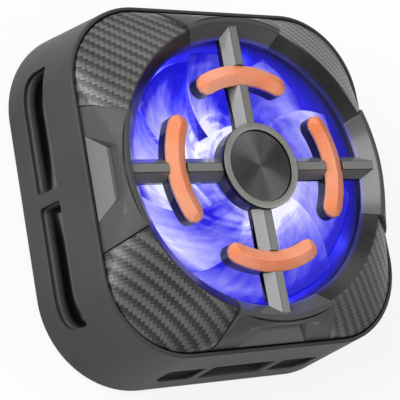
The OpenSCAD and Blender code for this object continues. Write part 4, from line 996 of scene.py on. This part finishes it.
# painted shade and light: faces turned sideways are painted dark and faces turned up light
tone = (facing + (grain - 0.5) * 0.1).between(0.1, 0.65) * (1 - painted_crease_shade * 0.8)
shade.skin({
    "Base Color": tone.blend("1c1c1d", "737371"), "Roughness": 0.24 + (grain - 0.5) * 0.1,
    "Normal": shade.bump(grain, 0.1, GRAIN_DEPTH), "Coat Weight": 0.3, "Coat Roughness": 0.12})
softened("fan_guard", "spoked_guard", finish, 0.16)

# Arcs
# Each orange arc is a glossy moulding pressed into its seat over a spoke. Its top is a hip roof: two long
# slopes that meet in a ridge, and short facets round each end.

ARC_R, ARC_HALF = 17.075, 1.875
ARC_SPAN = math.radians(27)
ARC_BASE, ARC_EDGE, ARC_RIDGE = 25.85, 26.45, 27.2
ARC_STEPS, ARC_FACETS = 40, 5


def hip_arc():
    """Bent bar with round ends: a closed loop round its plan is drawn in towards its spine as it rises,
    upright to the edge and then sloping up to the ridge."""
    along = np.linspace(-1, 1, ARC_STEPS)
    ends = np.linspace(0, math.pi, ARC_FACETS + 1)[1:-1]
    tip = np.ones(len(ends))
    spine = np.concatenate([along, tip, along[::-1], -tip]) * ARC_SPAN
    offset = np.concatenate([0 * along, ends, 0 * along + math.pi, ends + math.pi])
    rings = []
    for width, z in ((0.0, ARC_BASE), (ARC_HALF, ARC_BASE), (ARC_HALF, ARC_EDGE - 0.1),
                     (ARC_HALF - 0.03, ARC_EDGE - 0.03), (ARC_HALF - 0.12, ARC_EDGE + 0.02),
                     (0.13, ARC_RIDGE - 0.03), (0.07, ARC_RIDGE), (0.0, ARC_RIDGE)):
        radial, tangent = width * np.cos(offset), width * np.sin(offset)
        x = (ARC_R + radial) * np.cos(spine) - tangent * np.sin(spine)
        y = (ARC_R + radial) * np.sin(spine) + tangent * np.cos(spine)
        rings.append(stacked(x, y, z))
    return grid(np.stack(rings), (False, True))


finish, shade, place = new_finish("accent_orange")
drift, grain = shade.noise(place, 90.0, 3.0), shade.noise(place, GRAIN)
shade.skin({
    "Base Color": (drift * 0.8 + grain * 0.2).between(0.3, 0.7).blend("ec8350", "f0a584"),
    "Roughness": 0.2 + (grain - 0.5) * 0.1, "Coat Weight": 0.6, "Coat Roughness": 0.12,
    "Normal": shade.bump(grain, 0.05, GRAIN_DEPTH), "Subsurface Weight": 0.7, "Subsurface Scale": 1.5 * MM,
    "Subsurface Radius": (1.0, 0.45, 0.25)})
for quarter, side in enumerate("enws"):
    piece("orange_arc_" + side, [hip_arc()], finish, "accent_arc_" + side,
          sharp=14, even=False, quarter=quarter)

# Hub
# A bright turned ring trims the hub, and a dark disc with fine spun grooves lies inside it.
# Both are pressed on the guard's hub seat.

HUB_TRIM_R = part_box("hub_ring")[1][0] / MM
TRIM_LOW, TRIM_HIGH = (corner[2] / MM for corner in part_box("hub_ring"))
DISC_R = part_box("hub_disc")[1][0] / MM
DISC_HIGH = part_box("hub_disc")[1][2] / MM
GROOVE, GROOVE_DEPTH = 0.25, 0.05

# painted shade: the trim's sideways faces are painted near black
trim_finish = turned_metal("trim_metal", "9e9e99", "b0b0aa", 0.4, 0.12, 0.006, "242425")
trim = bordered((DISC_R + 0.04, TRIM_LOW), (HUB_TRIM_R, TRIM_HIGH), (0.05, 0.05, 0.1, 0.12))
piece("hub_trim", [lathe(trim, wrap=True)], trim_finish, "hub_ring")
groove_r = np.linspace(0, DISC_R - 0.2, 260)
groove_z = DISC_HIGH - GROOVE_DEPTH * (0.5 - 0.5 * np.cos(2 * math.pi * groove_r / GROOVE))
disc_profile = list(zip(groove_r, groove_z)) + [(DISC_R - 0.05, DISC_HIGH - 0.02), (DISC_R, DISC_HIGH - 0.08)]
disc_profile += [(DISC_R, TRIM_LOW), (0, TRIM_LOW)]
# painted shade: the disc's sideways faces are painted darker
spun_finish = turned_metal("spun_metal", "5c5c5c", "6c6c6c", 0.26, 0.25, 0.0, "303031")
piece("spun_disc", [lathe(disc_profile)], spun_finish, "hub_disc", sharp=60, even=False)

# Floor, light and camera
# The cooler lies on a pale sheet under four soft square lamps and an even grey sky.
# A long lens looks at it from above and to the left.

WHITE_SEEN, WHITE_MIRRORED = 0.85, 0.15
finish, shade, place = new_finish("pale_floor")
direct, glossy, through = (shade.add("LightPath", {}, {}, "Is " + kind + " Ray")
                           for kind in ("Camera", "Glossy", "Transmission"))
sheet = shade.add("BsdfDiffuse", {}, {"Color": (0.85, 0.85, 0.85, 1.0), "Roughness": 0.5})
white = shade.add("Emission", {}, {"Color": (1.0, 1.0, 1.0, 1.0), "Strength": 1.0})
share = direct * WHITE_SEEN + (glossy + through) * WHITE_MIRRORED
shade.add("MixShader", {}, {0: share, 1: sheet, 2: white}).end()
FLOOR_HALF, FLOOR_LOW = 3.0, -0.02 * MM
floor_mesh = bpy.data.meshes.new("pale_sheet")
floor_corners = [(x * FLOOR_HALF, y * FLOOR_HALF, FLOOR_LOW) for x, y in ((-1, -1), (1, -1), (1, 1), (-1, 1))]
floor_mesh.from_pydata(floor_corners, [], [(0, 1, 2, 3)])
floor_mesh.materials.append(finish)
floor = placed("pale_sheet", floor_mesh)

world = bpy.data.worlds.new("even_sky")
bpy.context.scene.world = world
world.use_nodes = True
sky = world.node_tree.nodes["Background"].inputs
sky[0].default_value = (1.0, 1.0, 1.0, 1.0)
sky[1].default_value = 0.3
LAMP_AIM = Vector((0, 0, 0.015))
for name, place, size, power in (
        ("key", (-0.48, 0.16, 0.35), 0.45, 4.0), ("fill", (0.1, 0.4, 0.34), 0.4, 0.45),
        ("side", (0.42, -0.08, 0.4), 0.35, 0.45), ("front", (0.1, -0.36, 0.55), 0.3, 0.3)):
    lamp = bpy.data.lights.new(name, "AREA")
    lamp.size, lamp.energy = size, power
    holder = placed(name, lamp)
    holder.location = place
    holder.rotation_euler = (Vector(place) - LAMP_AIM).to_track_quat("Z", "Y").to_euler()

EYE = (-0.158503, -0.060026, 0.229296)
LENS = 135.1
RIGHT = (0.82287, -0.17414, 0.54088)
UP = (0.02335, 0.96144, 0.27402)
BACK = (-0.56774, -0.21285, 0.79521)
camera = bpy.data.cameras.new("camera")
camera.lens = LENS
camera.sensor_width = 36.0
camera.clip_start = 0.01
view = placed("camera", camera)
view.matrix_world = Matrix([*zip(RIGHT, UP, BACK, EYE), (0, 0, 0, 1)])
bpy.context.scene.camera = view
bpy.context.scene.view_settings.view_transform = "Standard"
